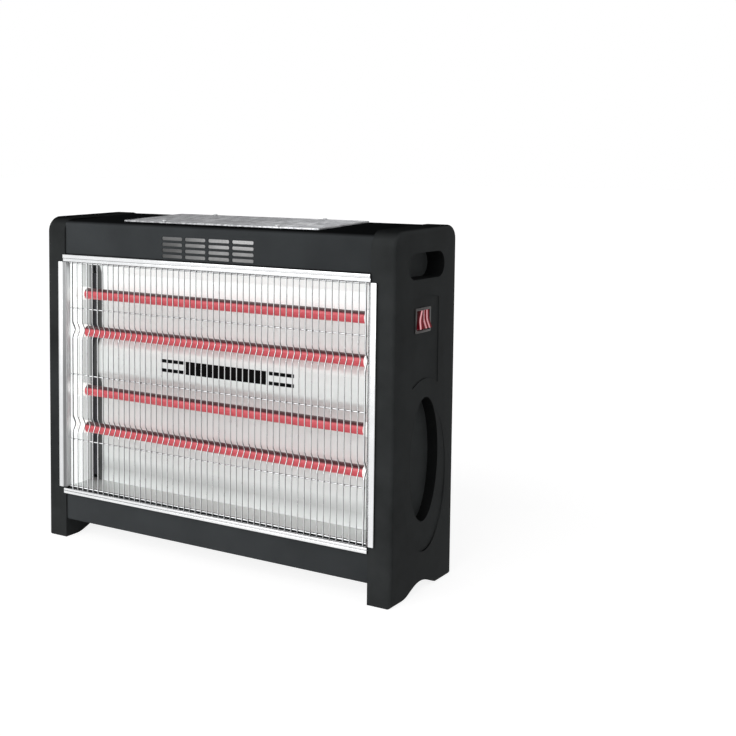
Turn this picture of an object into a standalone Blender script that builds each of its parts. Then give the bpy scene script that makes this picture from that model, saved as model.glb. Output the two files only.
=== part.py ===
"""Free-standing quartz heater, modelled piece by piece at its real size in metres.

The origin is on the floor under the heater's middle. X runs along the heater
towards its switch, the glowing front faces -Y, and Z points up.
"""

import math

import bmesh
import bpy
from mathutils import Matrix, Vector

# Overall size
WIDTH = 0.600
DEPTH = 0.176
HEIGHT = 0.490

# Fits and material thicknesses
CLEARANCE = 0.0003
SHEET = 0.0012
BRIGHT_SHEET = 0.0008
CHEEK_SHEET = 0.0010
FOLD_RADIUS = 0.0020
ARC_STEPS = 4
CUT_MARGIN = 0.010

# Side panels; what lies on them follows the height
PANEL_THICKNESS = 0.034
PANEL_WALL = 0.0030
PANEL_EDGE_ROUND = 0.009
PANEL_TOP_DROP = 0.004
PANEL_FRONT_TOP_RADIUS = 0.022
PANEL_REAR_TOP_RADIUS = 0.020
PANEL_FOOT_RADIUS = 0.012
PANEL_SETBACK = 0.004
FOOT_ARCH_Y = -0.004
FOOT_ARCH_HALF_WIDTH = 0.060
FOOT_ARCH_RISE = 0.0155
HANDLE_Y = 0.002
HANDLE_DROP = 0.0515
HANDLE_LENGTH = 0.100
HANDLE_HEIGHT = 0.035
HANDLE_DEPTH = 0.026
OVAL_Y = 0.003
OVAL_Z = 0.3653 * HEIGHT
OVAL_HALF_WIDTH = 0.039
OVAL_HALF_HEIGHT = 0.1714 * HEIGHT
OVAL_DEPTH = 0.016
DISH_Y = 0.006
DISH_Z = 0.3143 * HEIGHT
DISH_HALF_WIDTH = 0.058
DISH_HALF_HEIGHT = 0.2041 * HEIGHT
DISH_DEPTH = 0.003
BOSS_RADIUS = 0.004
BOSS_BORE_DEPTH = 0.012
BOSS_INSET = 0.0090
BOSS_LEVEL = 0.050

# Switch in the right panel
RECESS_Y = 0.002
RECESS_WIDTH = 0.072
RECESS_BOTTOM = 0.5673 * HEIGHT
RECESS_TOP = 0.8041 * HEIGHT
RECESS_BOTTOM_RISE = 0.010
RECESS_TOP_RISE = 0.005
RECESS_DEPTH = 0.0018
SWITCH_Y = -0.0065
SWITCH_Z = 0.748 * HEIGHT
BEZEL_WIDTH = 0.043
BEZEL_HEIGHT = 0.033
BEZEL_THICKNESS = 0.0015
BEZEL_CORNER = 0.0020
SWITCH_BODY_WIDTH = 0.0378
SWITCH_BODY_HEIGHT = 0.0278
SWITCH_BODY_DEPTH = 0.0220
SWITCH_WALL = 0.0011
ROCKER_SIDE_GAP = 0.0005
ROCKER_HALF_LENGTH = 0.012
ROCKER_END_HEIGHT = 0.0055
ROCKER_VALLEY_HEIGHT = 0.0034
ROCKER_UNDERSIDE = 0.0045
ROCKER_EDGE = 0.0010
ROCKER_VALLEY_RADIUS = 0.020
ROCKER_TILT = math.radians(11)
ROCKER_AXIS_DEPTH = 0.0035
AXLE_RADIUS = 0.001
AXLE_END_GAP = 0.0001

# Upper casing, base pan and back panel
FASCIA_SETBACK = 0.0025
LIP_STEP = 0.0055
OPENING_BOTTOM = 0.077
TOP_BAND = 0.0695
LOWER_LIP_HEIGHT = 0.009
UPPER_LIP_HEIGHT = 0.0105
CASING_FRONT_DROP = 0.0089
CASING_REAR_DROP = 0.0018
CASING_FRONT_RADIUS = 0.009
CASING_REAR_RADIUS = 0.008
CASING_REAR_SETBACK = 0.004
CASING_REAR_FLANGE = 0.028
PAN_BOTTOM = 0.027
PAN_REAR_LIP = 0.018
END_PLATE_INSET = 0.0013
VENT_COLUMNS = 4
VENT_ROWS = 4
VENT_LENGTH = 0.036
VENT_HEIGHT = 0.0047
VENT_GAP_X = 0.005
VENT_GAP_Z = 0.0036
VENT_RISE = 0.0035
TOP_OPENING_INSET_X = 0.015
TOP_OPENING_INSET_FRONT = 0.012
TOP_OPENING_INSET_REAR = 0.014
BACK_SIDE_GAP = 0.0005
BACK_TOP_GAP = 0.0020
BACK_SLOT_LENGTH = 0.040
BACK_SLOT_HEIGHT = 0.004
BACK_SLOT_ROWS = 4
BACK_SLOT_COLUMNS = 4
BACK_SLOT_PITCH_X = 0.056
BACK_SLOT_PITCH_Z = 0.016
BACK_SLOT_DROP = 0.070
SCREW_RADIUS = 0.0015
SCREW_LENGTH = 0.0085
SCREW_HEAD_RADIUS = 0.0033
SCREW_HEAD_HEIGHT = 0.0016
SOCKET_RADIUS = 0.0007

# Mesh plate on the top
MESH_SIDE_INSET = 0.0952
MESH_FRONT_INSET = 0.0215
MESH_REAR_INSET = 0.010
MESH_HEIGHT = 0.0022
MESH_SHEET = 0.0008
MESH_RIM = 0.0012
MESH_CORNER = 0.004
DIAMOND_LENGTH = 0.030
DIAMOND_WIDTH = 0.0150
DIAMOND_STRAND = 0.0045
MESH_MARGIN = 0.012
MESH_SCREW_INSET = 0.0065

# Glowing tubes
TUBE_SETBACK = 0.017
TUBE_RADIUS = 0.0082
TUBE_WALL = 0.0012
CAP_RADIUS = 0.0098
CAP_LENGTH = 0.0156
CAP_NECK_RADIUS = 0.0065
CAP_TAIL = 0.0156
CAP_SOCKET_DEPTH = 0.0043
CAP_BORE_RADIUS = 0.0016
COIL_RADIUS = 0.0042
COIL_WIRE_RADIUS = 0.0008
COIL_LOOPS = 8
COIL_POINTS = 8
COIL_SETBACK = 0.019
COIL_TAIL = 0.0035

# Reflector and what stands round it
REFLECTOR_SIDE_GAP = 0.0119
REFLECTOR_DEPTH = 0.047
REFLECTOR_ROOF_DROP = 0.0015
REFLECTOR_ROOF_REACH = 0.0465
REFLECTOR_ROOF_SLOPE = 0.0030
REFLECTOR_CORNER_REACH = 0.0070
REFLECTOR_CORNER_DROP = 0.0160
REFLECTOR_FOOT_REACH = 0.0015
REFLECTOR_FOOT_RISE = 0.025
REFLECTOR_BULGE = 0.0005
REFLECTOR_LOW_DROP = 0.018
REFLECTOR_LOW_REACH = 0.0010
HUMP_HEIGHT = 0.009
HUMP_HALF_FLAT = 0.020
HUMP_SLOPE = 0.020
HUMP_RADIUS = 0.020
BRACKET_WIDTH = 0.0225
BRACKET_GAP = 0.0005
BRACKET_FOOT = 0.006
BRACKET_HEAD = 0.022
CHEEK_FRONT_INSET = 0.0005
CHEEK_REAR_GAP = 0.0020
FLOOR_LIP = 0.0012
FLOOR_REAR_REACH = 0.005
FLOOR_RISE = 0.0015
SHIELD_FOOT = 0.0025
SHIELD_FLAT = 0.016
SHIELD_RISE = 0.045
SHIELD_LIP_DROP = 0.0015
BADGE_THICKNESS = 0.0006
BADGE_HALF_LENGTH = 0.071
BADGE_HEIGHT = 0.019
BADGE_RISE = 0.002
SLOT_HEIGHT = 0.0052
SLOT_GAP = 0.0045
SLOT_LENGTH = 0.0425

# Guard and the chromed strips round it
GUARD_SIDE_GAP = 0.0040
GUARD_PITCH = 0.0102
WIRE_RADIUS = 0.0011
RAIL_RADIUS = 0.0014
CROSS_RADIUS = 0.0010
FRAME_WIRE_RADIUS = 0.0014
WELD_DEPTH = 0.0005
GUARD_END_MARGIN = 0.0025
GUARD_RAIL_FOOT = 0.0045
GUARD_RAIL_HEAD = 0.0060
GUARD_BAR_GAP = 0.0010
CRIMP_HALF_HEIGHT = 0.012
CRIMP_DEPTH = 0.006
STRIP_GROOVE = 0.0010
STRIP_STEP = 0.0010
STRIP_END_GAP = 0.0002
STRIP_OVERLAP = 0.0005
LOWER_BAND = 0.0045
UPPER_BAND = 0.0050
STRIP_BEVEL = 0.0006
SIDE_STRIP_FACE = 0.013
SIDE_STRIP_CHAMFER = 0.006
SIDE_STRIP_LEG = 0.0050
SIDE_STRIP_WALL = 0.0012
SIDE_STRIP_BEVEL = 0.0008
SIDE_STRIP_FOOT = 0.0010
SIDE_STRIP_HEAD = 0.0008
SIDE_STRIP_GAP = 0.0001

# Wiring and fittings inside
LEAD_RADIUS = 0.0013
LEAD_STRAIGHT = 0.0055
LEAD_RUN_GAP = 0.0050
LEAD_ENTRY = 0.0040
JUMPER_BEND = 0.009
GROMMET_REAR_INSET = 0.0295
GROMMET_RISE = 0.0350
GROMMET_BORE = 0.005
GROMMET_WALL = 0.0017
GROMMET_FLANGE = 0.0013
GROMMET_FLANGE_DEPTH = 0.0020
TERMINAL_INSET = 0.0407
TERMINAL_REAR_INSET = 0.041
TERMINAL_SIZE = (0.050, 0.022, 0.020)
TERMINAL_PITCH = 0.015
TERMINAL_WELL_RADIUS = 0.0025
TILT_SWITCH_OFFSET = 0.075
TILT_SWITCH_SIZE = (0.024, 0.016, 0.030)
FITTING_EDGE = 0.0010
CUTOUT_X = -0.060
CUTOUT_RADIUS = 0.009
CUTOUT_THICKNESS = 0.008
GLAND_INSET = 0.0657
GLAND_RISE = 0.037
GLAND_BORE = 0.004
GLAND_MOUTH = 0.005
GLAND_NECK_RADIUS = 0.0069
GLAND_FLANGE_RADIUS = 0.0090
GLAND_FLANGE = 0.0022
GLAND_REACH = 0.006

# Planes across the heater, worked out from the sizes above
PANEL_OUTER = WIDTH / 2
PANEL_INNER = PANEL_OUTER - PANEL_THICKNESS
CASING_X = PANEL_INNER - CLEARANCE
END_PLATE_OUTER = CASING_X - END_PLATE_INSET
END_PLATE_INNER = END_PLATE_OUTER - SHEET
CHEEK_OUTER = END_PLATE_INNER - CLEARANCE
CHEEK_INNER = CHEEK_OUTER - CHEEK_SHEET
CAP_SHOULDER = CHEEK_INNER - CLEARANCE
CAP_FACE = CAP_SHOULDER - CAP_LENGTH
CAP_END = END_PLATE_OUTER + CAP_TAIL
TUBE_END = CAP_FACE + CAP_SOCKET_DEPTH - CLEARANCE
COIL_END = CAP_END + COIL_TAIL
COIL_HALF_LENGTH = TUBE_END - COIL_SETBACK
LEAD_START = COIL_END + CLEARANCE
LEAD_RUN_X = END_PLATE_OUTER + LEAD_RUN_GAP
REFLECTOR_HALF_LENGTH = CHEEK_INNER - REFLECTOR_SIDE_GAP
GUARD_GAPS = 2 * int((CHEEK_INNER - GUARD_SIDE_GAP) / GUARD_PITCH)
MESH_HALF_LENGTH = CASING_X - MESH_SIDE_INSET
MESH_SCREW_X = 0.58 * MESH_HALF_LENGTH
TOP_OPENING_HALF_LENGTH = MESH_HALF_LENGTH - TOP_OPENING_INSET_X
TERMINAL_X = CASING_X - TERMINAL_INSET
TILT_SWITCH_X = TERMINAL_X - TILT_SWITCH_OFFSET
GLAND_X = CASING_X - GLAND_INSET
RECESS_FLOOR = PANEL_OUTER - RECESS_DEPTH
BEZEL_BACK = RECESS_FLOOR + CLEARANCE
BEZEL_FACE = BEZEL_BACK + BEZEL_THICKNESS
SWITCH_BACK = RECESS_FLOOR - SWITCH_BODY_DEPTH
ROCKER_AXIS_X = BEZEL_FACE - ROCKER_AXIS_DEPTH
POCKET_WIDTH = (SWITCH_BODY_WIDTH - 3 * SWITCH_WALL) / 2
POCKET_HEIGHT = 2 * math.hypot(ROCKER_HALF_LENGTH, ROCKER_END_HEIGHT)
ROCKER_OFFSET = (POCKET_WIDTH + SWITCH_WALL) / 2

# Planes from the front to the rear
STRIP_FRONT = -DEPTH / 2
PANEL_REAR = DEPTH / 2
PANEL_FRONT = STRIP_FRONT + PANEL_SETBACK
CASING_FRONT = PANEL_FRONT + FASCIA_SETBACK
LIP_FACE = CASING_FRONT + LIP_STEP
RAIL_Y = LIP_FACE - CLEARANCE - RAIL_RADIUS
WIRE_Y = RAIL_Y - RAIL_RADIUS - WIRE_RADIUS + WELD_DEPTH
CROSS_Y = WIRE_Y + WIRE_RADIUS + CLEARANCE + CROSS_RADIUS
FRAME_WIRE_Y = WIRE_Y + FRAME_WIRE_RADIUS - WIRE_RADIUS
STRIP_REAR = WIRE_Y - WIRE_RADIUS - CLEARANCE
TUBE_Y = LIP_FACE + TUBE_SETBACK
REFLECTOR_Y = LIP_FACE + REFLECTOR_DEPTH
HUMP_Y = REFLECTOR_Y - HUMP_HEIGHT
CASING_REAR = PANEL_REAR - CASING_REAR_SETBACK
BACK_OUTER = CASING_REAR - SHEET - CLEARANCE
BACK_INNER = BACK_OUTER - SHEET
PAN_REAR = BACK_INNER - CLEARANCE
END_PLATE_FRONT = LIP_FACE + SHEET + CLEARANCE
END_PLATE_REAR = PAN_REAR - SHEET - CLEARANCE
CHEEK_REAR = REFLECTOR_Y - CHEEK_REAR_GAP
MESH_FRONT = CASING_FRONT + MESH_FRONT_INSET
MESH_REAR = CASING_REAR - MESH_REAR_INSET
TOP_OPENING_FRONT = MESH_FRONT + TOP_OPENING_INSET_FRONT
TOP_OPENING_REAR = MESH_REAR - TOP_OPENING_INSET_REAR
GROMMET_Y = END_PLATE_REAR - GROMMET_REAR_INSET
TERMINAL_Y = PAN_REAR - TERMINAL_REAR_INSET

# Levels from the floor up
PAN_FLOOR = PAN_BOTTOM + SHEET
PAN_STEP = OPENING_BOTTOM - LOWER_LIP_HEIGHT
OPENING_TOP = HEIGHT - TOP_BAND
OPENING_HEIGHT = OPENING_TOP - OPENING_BOTTOM
CASING_STEP = OPENING_TOP + UPPER_LIP_HEIGHT
CASING_TOP_FRONT = HEIGHT - CASING_FRONT_DROP
CASING_TOP_REAR = HEIGHT - CASING_REAR_DROP
CASING_TOP_SLOPE = (CASING_TOP_REAR - CASING_TOP_FRONT) / (CASING_REAR - CASING_FRONT)
HANDLE_Z = HEIGHT - HANDLE_DROP
VENT_BOTTOM = CASING_STEP + VENT_RISE
BACK_SLOT_TOP = HEIGHT - BACK_SLOT_DROP
GROMMET_Z = PAN_BOTTOM + GROMMET_RISE
GLAND_Z = PAN_BOTTOM + GLAND_RISE
TUBE_HEIGHTS = [OPENING_BOTTOM + share * OPENING_HEIGHT for share in (0.8559, 0.69, 0.4288, 0.264)]
CRIMP_HEIGHTS = [OPENING_BOTTOM + share * OPENING_HEIGHT for share in (0.2853, 0.7016)]
CROSS_WIRE_HEIGHTS = [OPENING_BOTTOM + share * OPENING_HEIGHT for share in (0.2154, 0.5036, 0.7948)]
HUMP_Z = (TUBE_HEIGHTS[1] + TUBE_HEIGHTS[2]) / 2
BADGE_LOW = HUMP_Z + BADGE_RISE - BADGE_HEIGHT / 2
FLOOR_FRONT_TOP = OPENING_BOTTOM + CLEARANCE + BRIGHT_SHEET
SHIELD_LEVEL = OPENING_TOP + SHIELD_FOOT

# Screws: through the end plates into the panels' bosses, and the back panel to the base pan's lip
BOSS_PLACES = [
    (y, z)
    for y in (END_PLATE_FRONT + BOSS_INSET, END_PLATE_REAR - BOSS_INSET)
    for z in (BOSS_LEVEL, HEIGHT - BOSS_LEVEL)
]
BACK_SCREW_X = (-GLAND_X, 0.0, GLAND_X)
PAN_SCREW_Z = PAN_BOTTOM + 0.55 * PAN_REAR_LIP
SCREW_HOLE_RADIUS = SCREW_RADIUS + CLEARANCE
PARTS_NAME = "electric_quartz_heater"
CUTTERS_NAME = "cutters"


def clear_scene():
    for item in list(bpy.data.objects):
        bpy.data.objects.remove(item, do_unlink=True)


def new_collection(name):
    """A collection under the scene's own, found again by its name."""
    collection = bpy.data.collections.new(name)
    bpy.context.scene.collection.children.link(collection)
    return collection


def material(name, colour, roughness, metallic=0.0, glow=0.0):
    """A Principled material, made once and shared by name."""
    found = bpy.data.materials.get(name)
    if found:
        return found
    made = bpy.data.materials.new(name)
    made.use_nodes = True
    made.diffuse_color = (*colour, 1.0)
    shader = made.node_tree.nodes["Principled BSDF"]
    shader.inputs["Base Color"].default_value = (*colour, 1.0)
    shader.inputs["Roughness"].default_value = roughness
    shader.inputs["Metallic"].default_value = metallic
    shader.inputs["Emission Color"].default_value = (*colour, 1.0)
    shader.inputs["Emission Strength"].default_value = glow
    return made


def black_plastic():
    return material("black_plastic", (0.020, 0.022, 0.022), 0.45)


def charcoal_paint():
    return material("charcoal_paint", (0.045, 0.050, 0.053), 0.40)


def polished_sheet():
    return material("polished_sheet", (0.85, 0.85, 0.86), 0.12, 1.0)


def plated_steel():
    return material("plated_steel", (0.62, 0.63, 0.64), 0.35, 1.0)


def chromed_steel():
    return material("chromed_steel", (0.88, 0.88, 0.89), 0.10, 1.0)


def dark_steel():
    return material("dark_steel", (0.060, 0.060, 0.062), 0.50, 0.6)


def glowing_quartz():
    return material("glowing_quartz", (0.62, 0.090, 0.110), 0.25, 0.0, 0.4)


def hot_wire():
    return material("hot_wire", (0.90, 0.22, 0.06), 0.50, 0.5, 1.0)


def white_ceramic():
    return material("white_ceramic", (0.86, 0.85, 0.82), 0.55)


def badge_black():
    return material("badge_black", (0.008, 0.008, 0.008), 0.35)


def switch_black():
    return material("switch_black", (0.030, 0.028, 0.028), 0.35)


def switch_red():
    return material("switch_red", (0.72, 0.045, 0.055), 0.22, 0.0, 0.3)


def lead_sheath():
    return material("lead_sheath", (0.78, 0.76, 0.70), 0.60)


def grey_nylon():
    return material("grey_nylon", (0.46, 0.46, 0.44), 0.50)


def add_object(name, data, surface=None):
    """A part with its material, or a hidden cutter when it has none."""
    item = bpy.data.objects.new(name, data)
    if surface:
        data.materials.append(surface)
        bpy.data.collections[PARTS_NAME].objects.link(item)
    else:
        item.hide_render = True
        item.display_type = "WIRE"
        bpy.data.collections[CUTTERS_NAME].objects.link(item)
    return item


def add_bmesh(name, shape, surface=None):
    mesh = bpy.data.meshes.new(name)
    bmesh.ops.recalc_face_normals(shape, faces=shape.faces)
    shape.to_mesh(mesh)
    shape.free()
    return add_object(name, mesh, surface)


def rounded_path(corners, steps=ARC_STEPS):
    """Straight runs joined by arcs through corners (u, v, radius); the ends have radius 0."""
    points = []
    for index, (u, v, radius) in enumerate(corners):
        corner = Vector((u, v))
        if radius == 0.0:
            points.append(corner)
            continue
        before = (Vector(corners[index - 1][:2]) - corner).normalized()
        after = (Vector(corners[(index + 1) % len(corners)][:2]) - corner).normalized()
        half = before.angle(after) / 2
        centre = corner + (before + after).normalized() * (radius / math.sin(half))
        start = corner + before * (radius / math.tan(half)) - centre
        end = corner + after * (radius / math.tan(half)) - centre
        turn = math.atan2(start.cross(end), start.dot(end))
        pieces = max(1, round(steps * abs(turn) / (math.pi / 2)))
        for step in range(pieces + 1):
            point = centre + Matrix.Rotation(turn * step / pieces, 2) @ start
            if not points or (point - points[-1]).length > 1e-6:
                points.append(point)
    if (points[0] - points[-1]).length < 1e-6:
        points.pop()
    return points


def rectangle(low_u, high_u, low_v, high_v, radius=0.0, steps=ARC_STEPS):
    corners = ((low_u, low_v), (high_u, low_v), (high_u, high_v), (low_u, high_v))
    return rounded_path([(u, v, radius) for u, v in corners], steps)


def ellipse(centre_u, centre_v, radius_u, radius_v, steps):
    """An ellipse's outline as (u, v) points."""
    turns = [2 * math.pi * step / steps for step in range(steps)]
    return [Vector((centre_u + radius_u * math.cos(a), centre_v + radius_v * math.sin(a))) for a in turns]


def circle(centre_u, centre_v, radius, steps=12):
    return ellipse(centre_u, centre_v, radius, radius, steps)


# Where an outline's u, v and thickness directions lie for each axis that it is thickened along
AXIS_BASES = {
    "X": Matrix(((0, 0, 1, 0), (1, 0, 0, 0), (0, 1, 0, 0), (0, 0, 0, 1))),
    "Y": Matrix(((1, 0, 0, 0), (0, 0, -1, 0), (0, 1, 0, 0), (0, 0, 0, 1))),
    "Z": Matrix.Identity(4),
}


def plate(name, outlines, low, high, axis, surface=None):
    """A flat outline, with holes inside it, thickened from low to high along an axis.

    The outline's (u, v) is (y, z) along X, (x, z) along Y and (x, y) along Z.
    """
    curve = bpy.data.curves.new(name, "CURVE")
    curve.dimensions = "2D"
    curve.fill_mode = "BOTH"
    curve.extrude = (high - low) / 2
    for outline in outlines:
        spline = curve.splines.new("POLY")
        spline.points.add(len(outline) - 1)
        spline.use_cyclic_u = True
        for point, (u, v) in zip(spline.points, outline):
            point.co = (u, v, 0.0, 1.0)
    shift = Vector((0.0, 0.0, 0.0))
    shift["XYZ".index(axis)] = (low + high) / 2
    return curve_to_mesh(name, curve, Matrix.Translation(shift) @ AXIS_BASES[axis], surface)


def curve_to_mesh(name, curve, place, surface=None):
    """A curve made a closed mesh, with its caps welded to its sides."""
    guide = bpy.data.objects.new(name + "_curve", curve)
    bpy.context.scene.collection.objects.link(guide)
    evaluated = guide.evaluated_get(bpy.context.evaluated_depsgraph_get())
    mesh = bpy.data.meshes.new_from_object(evaluated)
    bpy.data.objects.remove(guide, do_unlink=True)
    mesh.transform(place)
    mesh.name = name
    shape = bmesh.new()
    shape.from_mesh(mesh)
    bmesh.ops.remove_doubles(shape, verts=shape.verts, dist=1e-6)
    bmesh.ops.recalc_face_normals(shape, faces=shape.faces)
    shape.to_mesh(mesh)
    shape.free()
    return add_object(name, mesh, surface)


def bent_sheet(name, path, half_length, thickness, surface):
    """A sheet folded along a path of (y, z) points and run along X.

    The path comes down the heater's front, so the side it shows is on its
    outside, and the thickness is added behind that side.
    """
    shape = bmesh.new()
    near = [shape.verts.new((-half_length, y, z)) for y, z in path]
    edges = [shape.edges.new(pair) for pair in zip(near, near[1:])]
    made = bmesh.ops.extrude_edge_only(shape, edges=edges)["geom"]
    far = [item for item in made if isinstance(item, bmesh.types.BMVert)]
    bmesh.ops.translate(shape, verts=far, vec=(2 * half_length, 0, 0))
    shape.normal_update()
    first = next(iter(edges[0].link_faces))
    along = near[1].co - near[0].co
    if first.normal.dot(along.cross(Vector((1, 0, 0)))) < 0:
        bmesh.ops.reverse_faces(shape, faces=shape.faces)
    mesh = bpy.data.meshes.new(name)
    shape.to_mesh(mesh)
    shape.free()
    item = add_object(name, mesh, surface)
    solid = item.modifiers.new("thickness", "SOLIDIFY")
    solid.thickness = thickness
    solid.offset = -1
    solid.use_even_offset = True
    return item


def box(name, low, high, surface=None, edge_round=0.0):
    """A box between two corners, with an optional small round on every edge."""
    shape = bmesh.new()
    bmesh.ops.create_cube(shape, size=1.0)
    size = Vector(high) - Vector(low)
    bmesh.ops.scale(shape, verts=shape.verts, vec=size)
    bmesh.ops.translate(shape, verts=shape.verts, vec=(Vector(high) + Vector(low)) / 2)
    if edge_round:
        bmesh.ops.bevel(
            shape, geom=shape.edges[:], offset=edge_round, segments=1, profile=0.5, affect="EDGES",
        )
    return add_bmesh(name, shape, surface)


def add_rod(shape, start, end, radius, segments=12):
    """Adds a capped cylinder between two points to a mesh under construction."""
    start = Vector(start)
    end = Vector(end)
    turn = (end - start).to_track_quat("Z", "Y").to_matrix().to_4x4()
    place = Matrix.Translation((start + end) / 2) @ turn
    bmesh.ops.create_cone(
        shape, cap_ends=True, segments=segments, radius1=radius, radius2=radius,
        depth=(end - start).length, matrix=place,
    )


def rods(name, runs, radius, segments=12, surface=None):
    """Separate capped cylinders in one object; each run is a start and an end."""
    shape = bmesh.new()
    for start, end in runs:
        add_rod(shape, start, end, radius, segments)
    return add_bmesh(name, shape, surface)


def turned(name, profile, place, surface, steps=16):
    """A ring turned round its own Z axis from a closed profile of (radius, height) points.

    The profile runs down its outer side and up its bore.
    """
    mesh = bpy.data.meshes.new(name)
    shape = bmesh.new()
    points = [shape.verts.new((radius, 0.0, height)) for radius, height in profile]
    for start, end in zip(points, points[1:] + points[:1]):
        shape.edges.new((start, end))
    shape.to_mesh(mesh)
    shape.free()
    item = add_object(name, mesh, surface)
    item.matrix_world = place
    screw = item.modifiers.new("turn", "SCREW")
    screw.axis = "Z"
    screw.steps = steps
    screw.render_steps = steps
    screw.use_smooth_shade = True
    screw.use_merge_vertices = True
    screw.merge_threshold = 0.00001
    return item


def along_x(x, y, z, side=1):
    """A place whose Z axis runs along X, away from the middle on that side."""
    return Matrix.Translation((side * x, y, z)) @ Matrix.Rotation(side * math.pi / 2, 4, "Y")


def wire_curve(name, routes, radius, smooth=False):
    """A curve of round wires along routes of points, with filled ends."""
    curve = bpy.data.curves.new(name, "CURVE")
    curve.dimensions = "3D"
    curve.bevel_depth = radius
    curve.bevel_resolution = 0
    curve.use_fill_caps = True
    curve.resolution_u = 2
    for route in routes:
        if smooth:
            spline = curve.splines.new("BEZIER")
            spline.bezier_points.add(len(route) - 1)
            for point, place in zip(spline.bezier_points, route):
                point.co = place
                point.handle_left_type = "AUTO"
                point.handle_right_type = "AUTO"
        else:
            spline = curve.splines.new("POLY")
            spline.points.add(len(route) - 1)
            for point, place in zip(spline.points, route):
                point.co = (*place, 1.0)
    return curve


def lead(name, route):
    """A sheathed lead that bends smoothly through its route's points."""
    add_object(name, wire_curve(name, [route], LEAD_RADIUS, True), lead_sheath())


def boolean(item, other, operation="DIFFERENCE"):
    """A live Boolean on an object, with a cutter or a joined piece."""
    step = item.modifiers.new(operation.lower() + "_" + other.name, "BOOLEAN")
    step.operation = operation
    step.solver = "EXACT"
    step.object = other


def mirrored(name, source, surface):
    """The left-hand copy of a part whose shape is the right-hand one's mirror image."""
    evaluated = source.evaluated_get(bpy.context.evaluated_depsgraph_get())
    mesh = bpy.data.meshes.new_from_object(evaluated)
    mesh.name = name
    mesh.transform(source.matrix_world)
    mesh.transform(Matrix.Scale(-1, 4, (1, 0, 0)))
    mesh.flip_normals()
    mesh.materials.clear()
    return add_object(name, mesh, surface)


def casing_top(y):
    """The height of the sloping top's outer face."""
    return CASING_TOP_FRONT + CASING_TOP_SLOPE * (y - CASING_FRONT)


def floor_top(y):
    """The height of the cavity floor's bright face, which rises to the rear."""
    span = REFLECTOR_Y + FLOOR_REAR_REACH - LIP_FACE
    return FLOOR_FRONT_TOP + FLOOR_RISE * (y - LIP_FACE) / span


def shield_top(y):
    """The height of the heat shield's slope, which rises from the front to the rear."""
    start = LIP_FACE + SHIELD_FLAT
    span = END_PLATE_REAR - start
    return SHIELD_LEVEL + SHIELD_RISE * max(0.0, y - start) / span


def panel_blank(name, inset, inner_x, outer_x, edge_round, surface=None):
    """A side panel's block without its feet: the side outline with rounded outer edges."""
    front = PANEL_FRONT + inset
    rear = PANEL_REAR - inset
    top = HEIGHT - inset
    corners = (
        (front, -PANEL_THICKNESS, 0.0),
        (rear, -PANEL_THICKNESS, 0.0),
        (rear, top, PANEL_REAR_TOP_RADIUS - inset),
        (front, top - PANEL_TOP_DROP, PANEL_FRONT_TOP_RADIUS - inset),
    )
    item = plate(name, [rounded_path(corners)], inner_x, outer_x, "X", surface)
    shape = bmesh.new()
    shape.from_mesh(item.data)
    bmesh.ops.dissolve_limit(shape, angle_limit=0.001, verts=shape.verts, edges=shape.edges)
    edges = [edge for edge in shape.edges if all(vert.co.x > outer_x - 1e-6 for vert in edge.verts)]
    bmesh.ops.bevel(shape, geom=edges, offset=edge_round, segments=3, profile=0.5, affect="EDGES")
    shape.to_mesh(item.data)
    shape.free()
    return item


def foot_cutter(name, lift):
    """What is cut away under a side panel: the floor line, the arch and the rear foot's round."""
    front = PANEL_FRONT - CUT_MARGIN
    rear = PANEL_REAR + CUT_MARGIN
    points = [Vector((front, lift))]
    for step in range(13):
        u = -1 + step / 6
        rise = FOOT_ARCH_RISE * (1 + math.cos(math.pi * u)) / 2
        points.append(Vector((FOOT_ARCH_Y + FOOT_ARCH_HALF_WIDTH * u, lift + rise)))
    centre_y = PANEL_REAR - PANEL_FOOT_RADIUS
    reach = PANEL_FOOT_RADIUS - lift
    for step in range(5):
        turn = math.pi / 2 * step / 4
        place = (centre_y + reach * math.sin(turn), PANEL_FOOT_RADIUS - reach * math.cos(turn))
        points.append(Vector(place))
    points.append(Vector((rear, PANEL_FOOT_RADIUS)))
    points.append(Vector((rear, -2 * PANEL_THICKNESS)))
    points.append(Vector((front, -2 * PANEL_THICKNESS)))
    low = PANEL_INNER - 2 * PANEL_THICKNESS
    return plate(name, [points], low, PANEL_OUTER + PANEL_THICKNESS, "X")


def handle_outline(grow):
    half = HANDLE_HEIGHT / 2 + grow
    reach = HANDLE_LENGTH / 2 + grow
    return rectangle(HANDLE_Y - reach, HANDLE_Y + reach, HANDLE_Z - half, HANDLE_Z + half, half, 5)


def oval_outline(grow):
    return ellipse(OVAL_Y, OVAL_Z, OVAL_HALF_WIDTH + grow, OVAL_HALF_HEIGHT + grow, 24)


def dish_outline(grow):
    return ellipse(DISH_Y, DISH_Z, DISH_HALF_WIDTH + grow, DISH_HALF_HEIGHT + grow, 28)


def recess_outline(grow):
    """The shallow recess round the switch: straight sides, with its top and bottom arched up."""
    half = RECESS_WIDTH / 2 + grow
    turns = [-1 + step / 4 for step in range(9)]
    low = [(RECESS_Y + half * u, RECESS_BOTTOM - grow + RECESS_BOTTOM_RISE * (1 - u * u)) for u in turns]
    high = [(RECESS_Y - half * u, RECESS_TOP + grow + RECESS_TOP_RISE * (1 - u * u)) for u in turns]
    return [Vector(point) for point in low + high]


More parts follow.
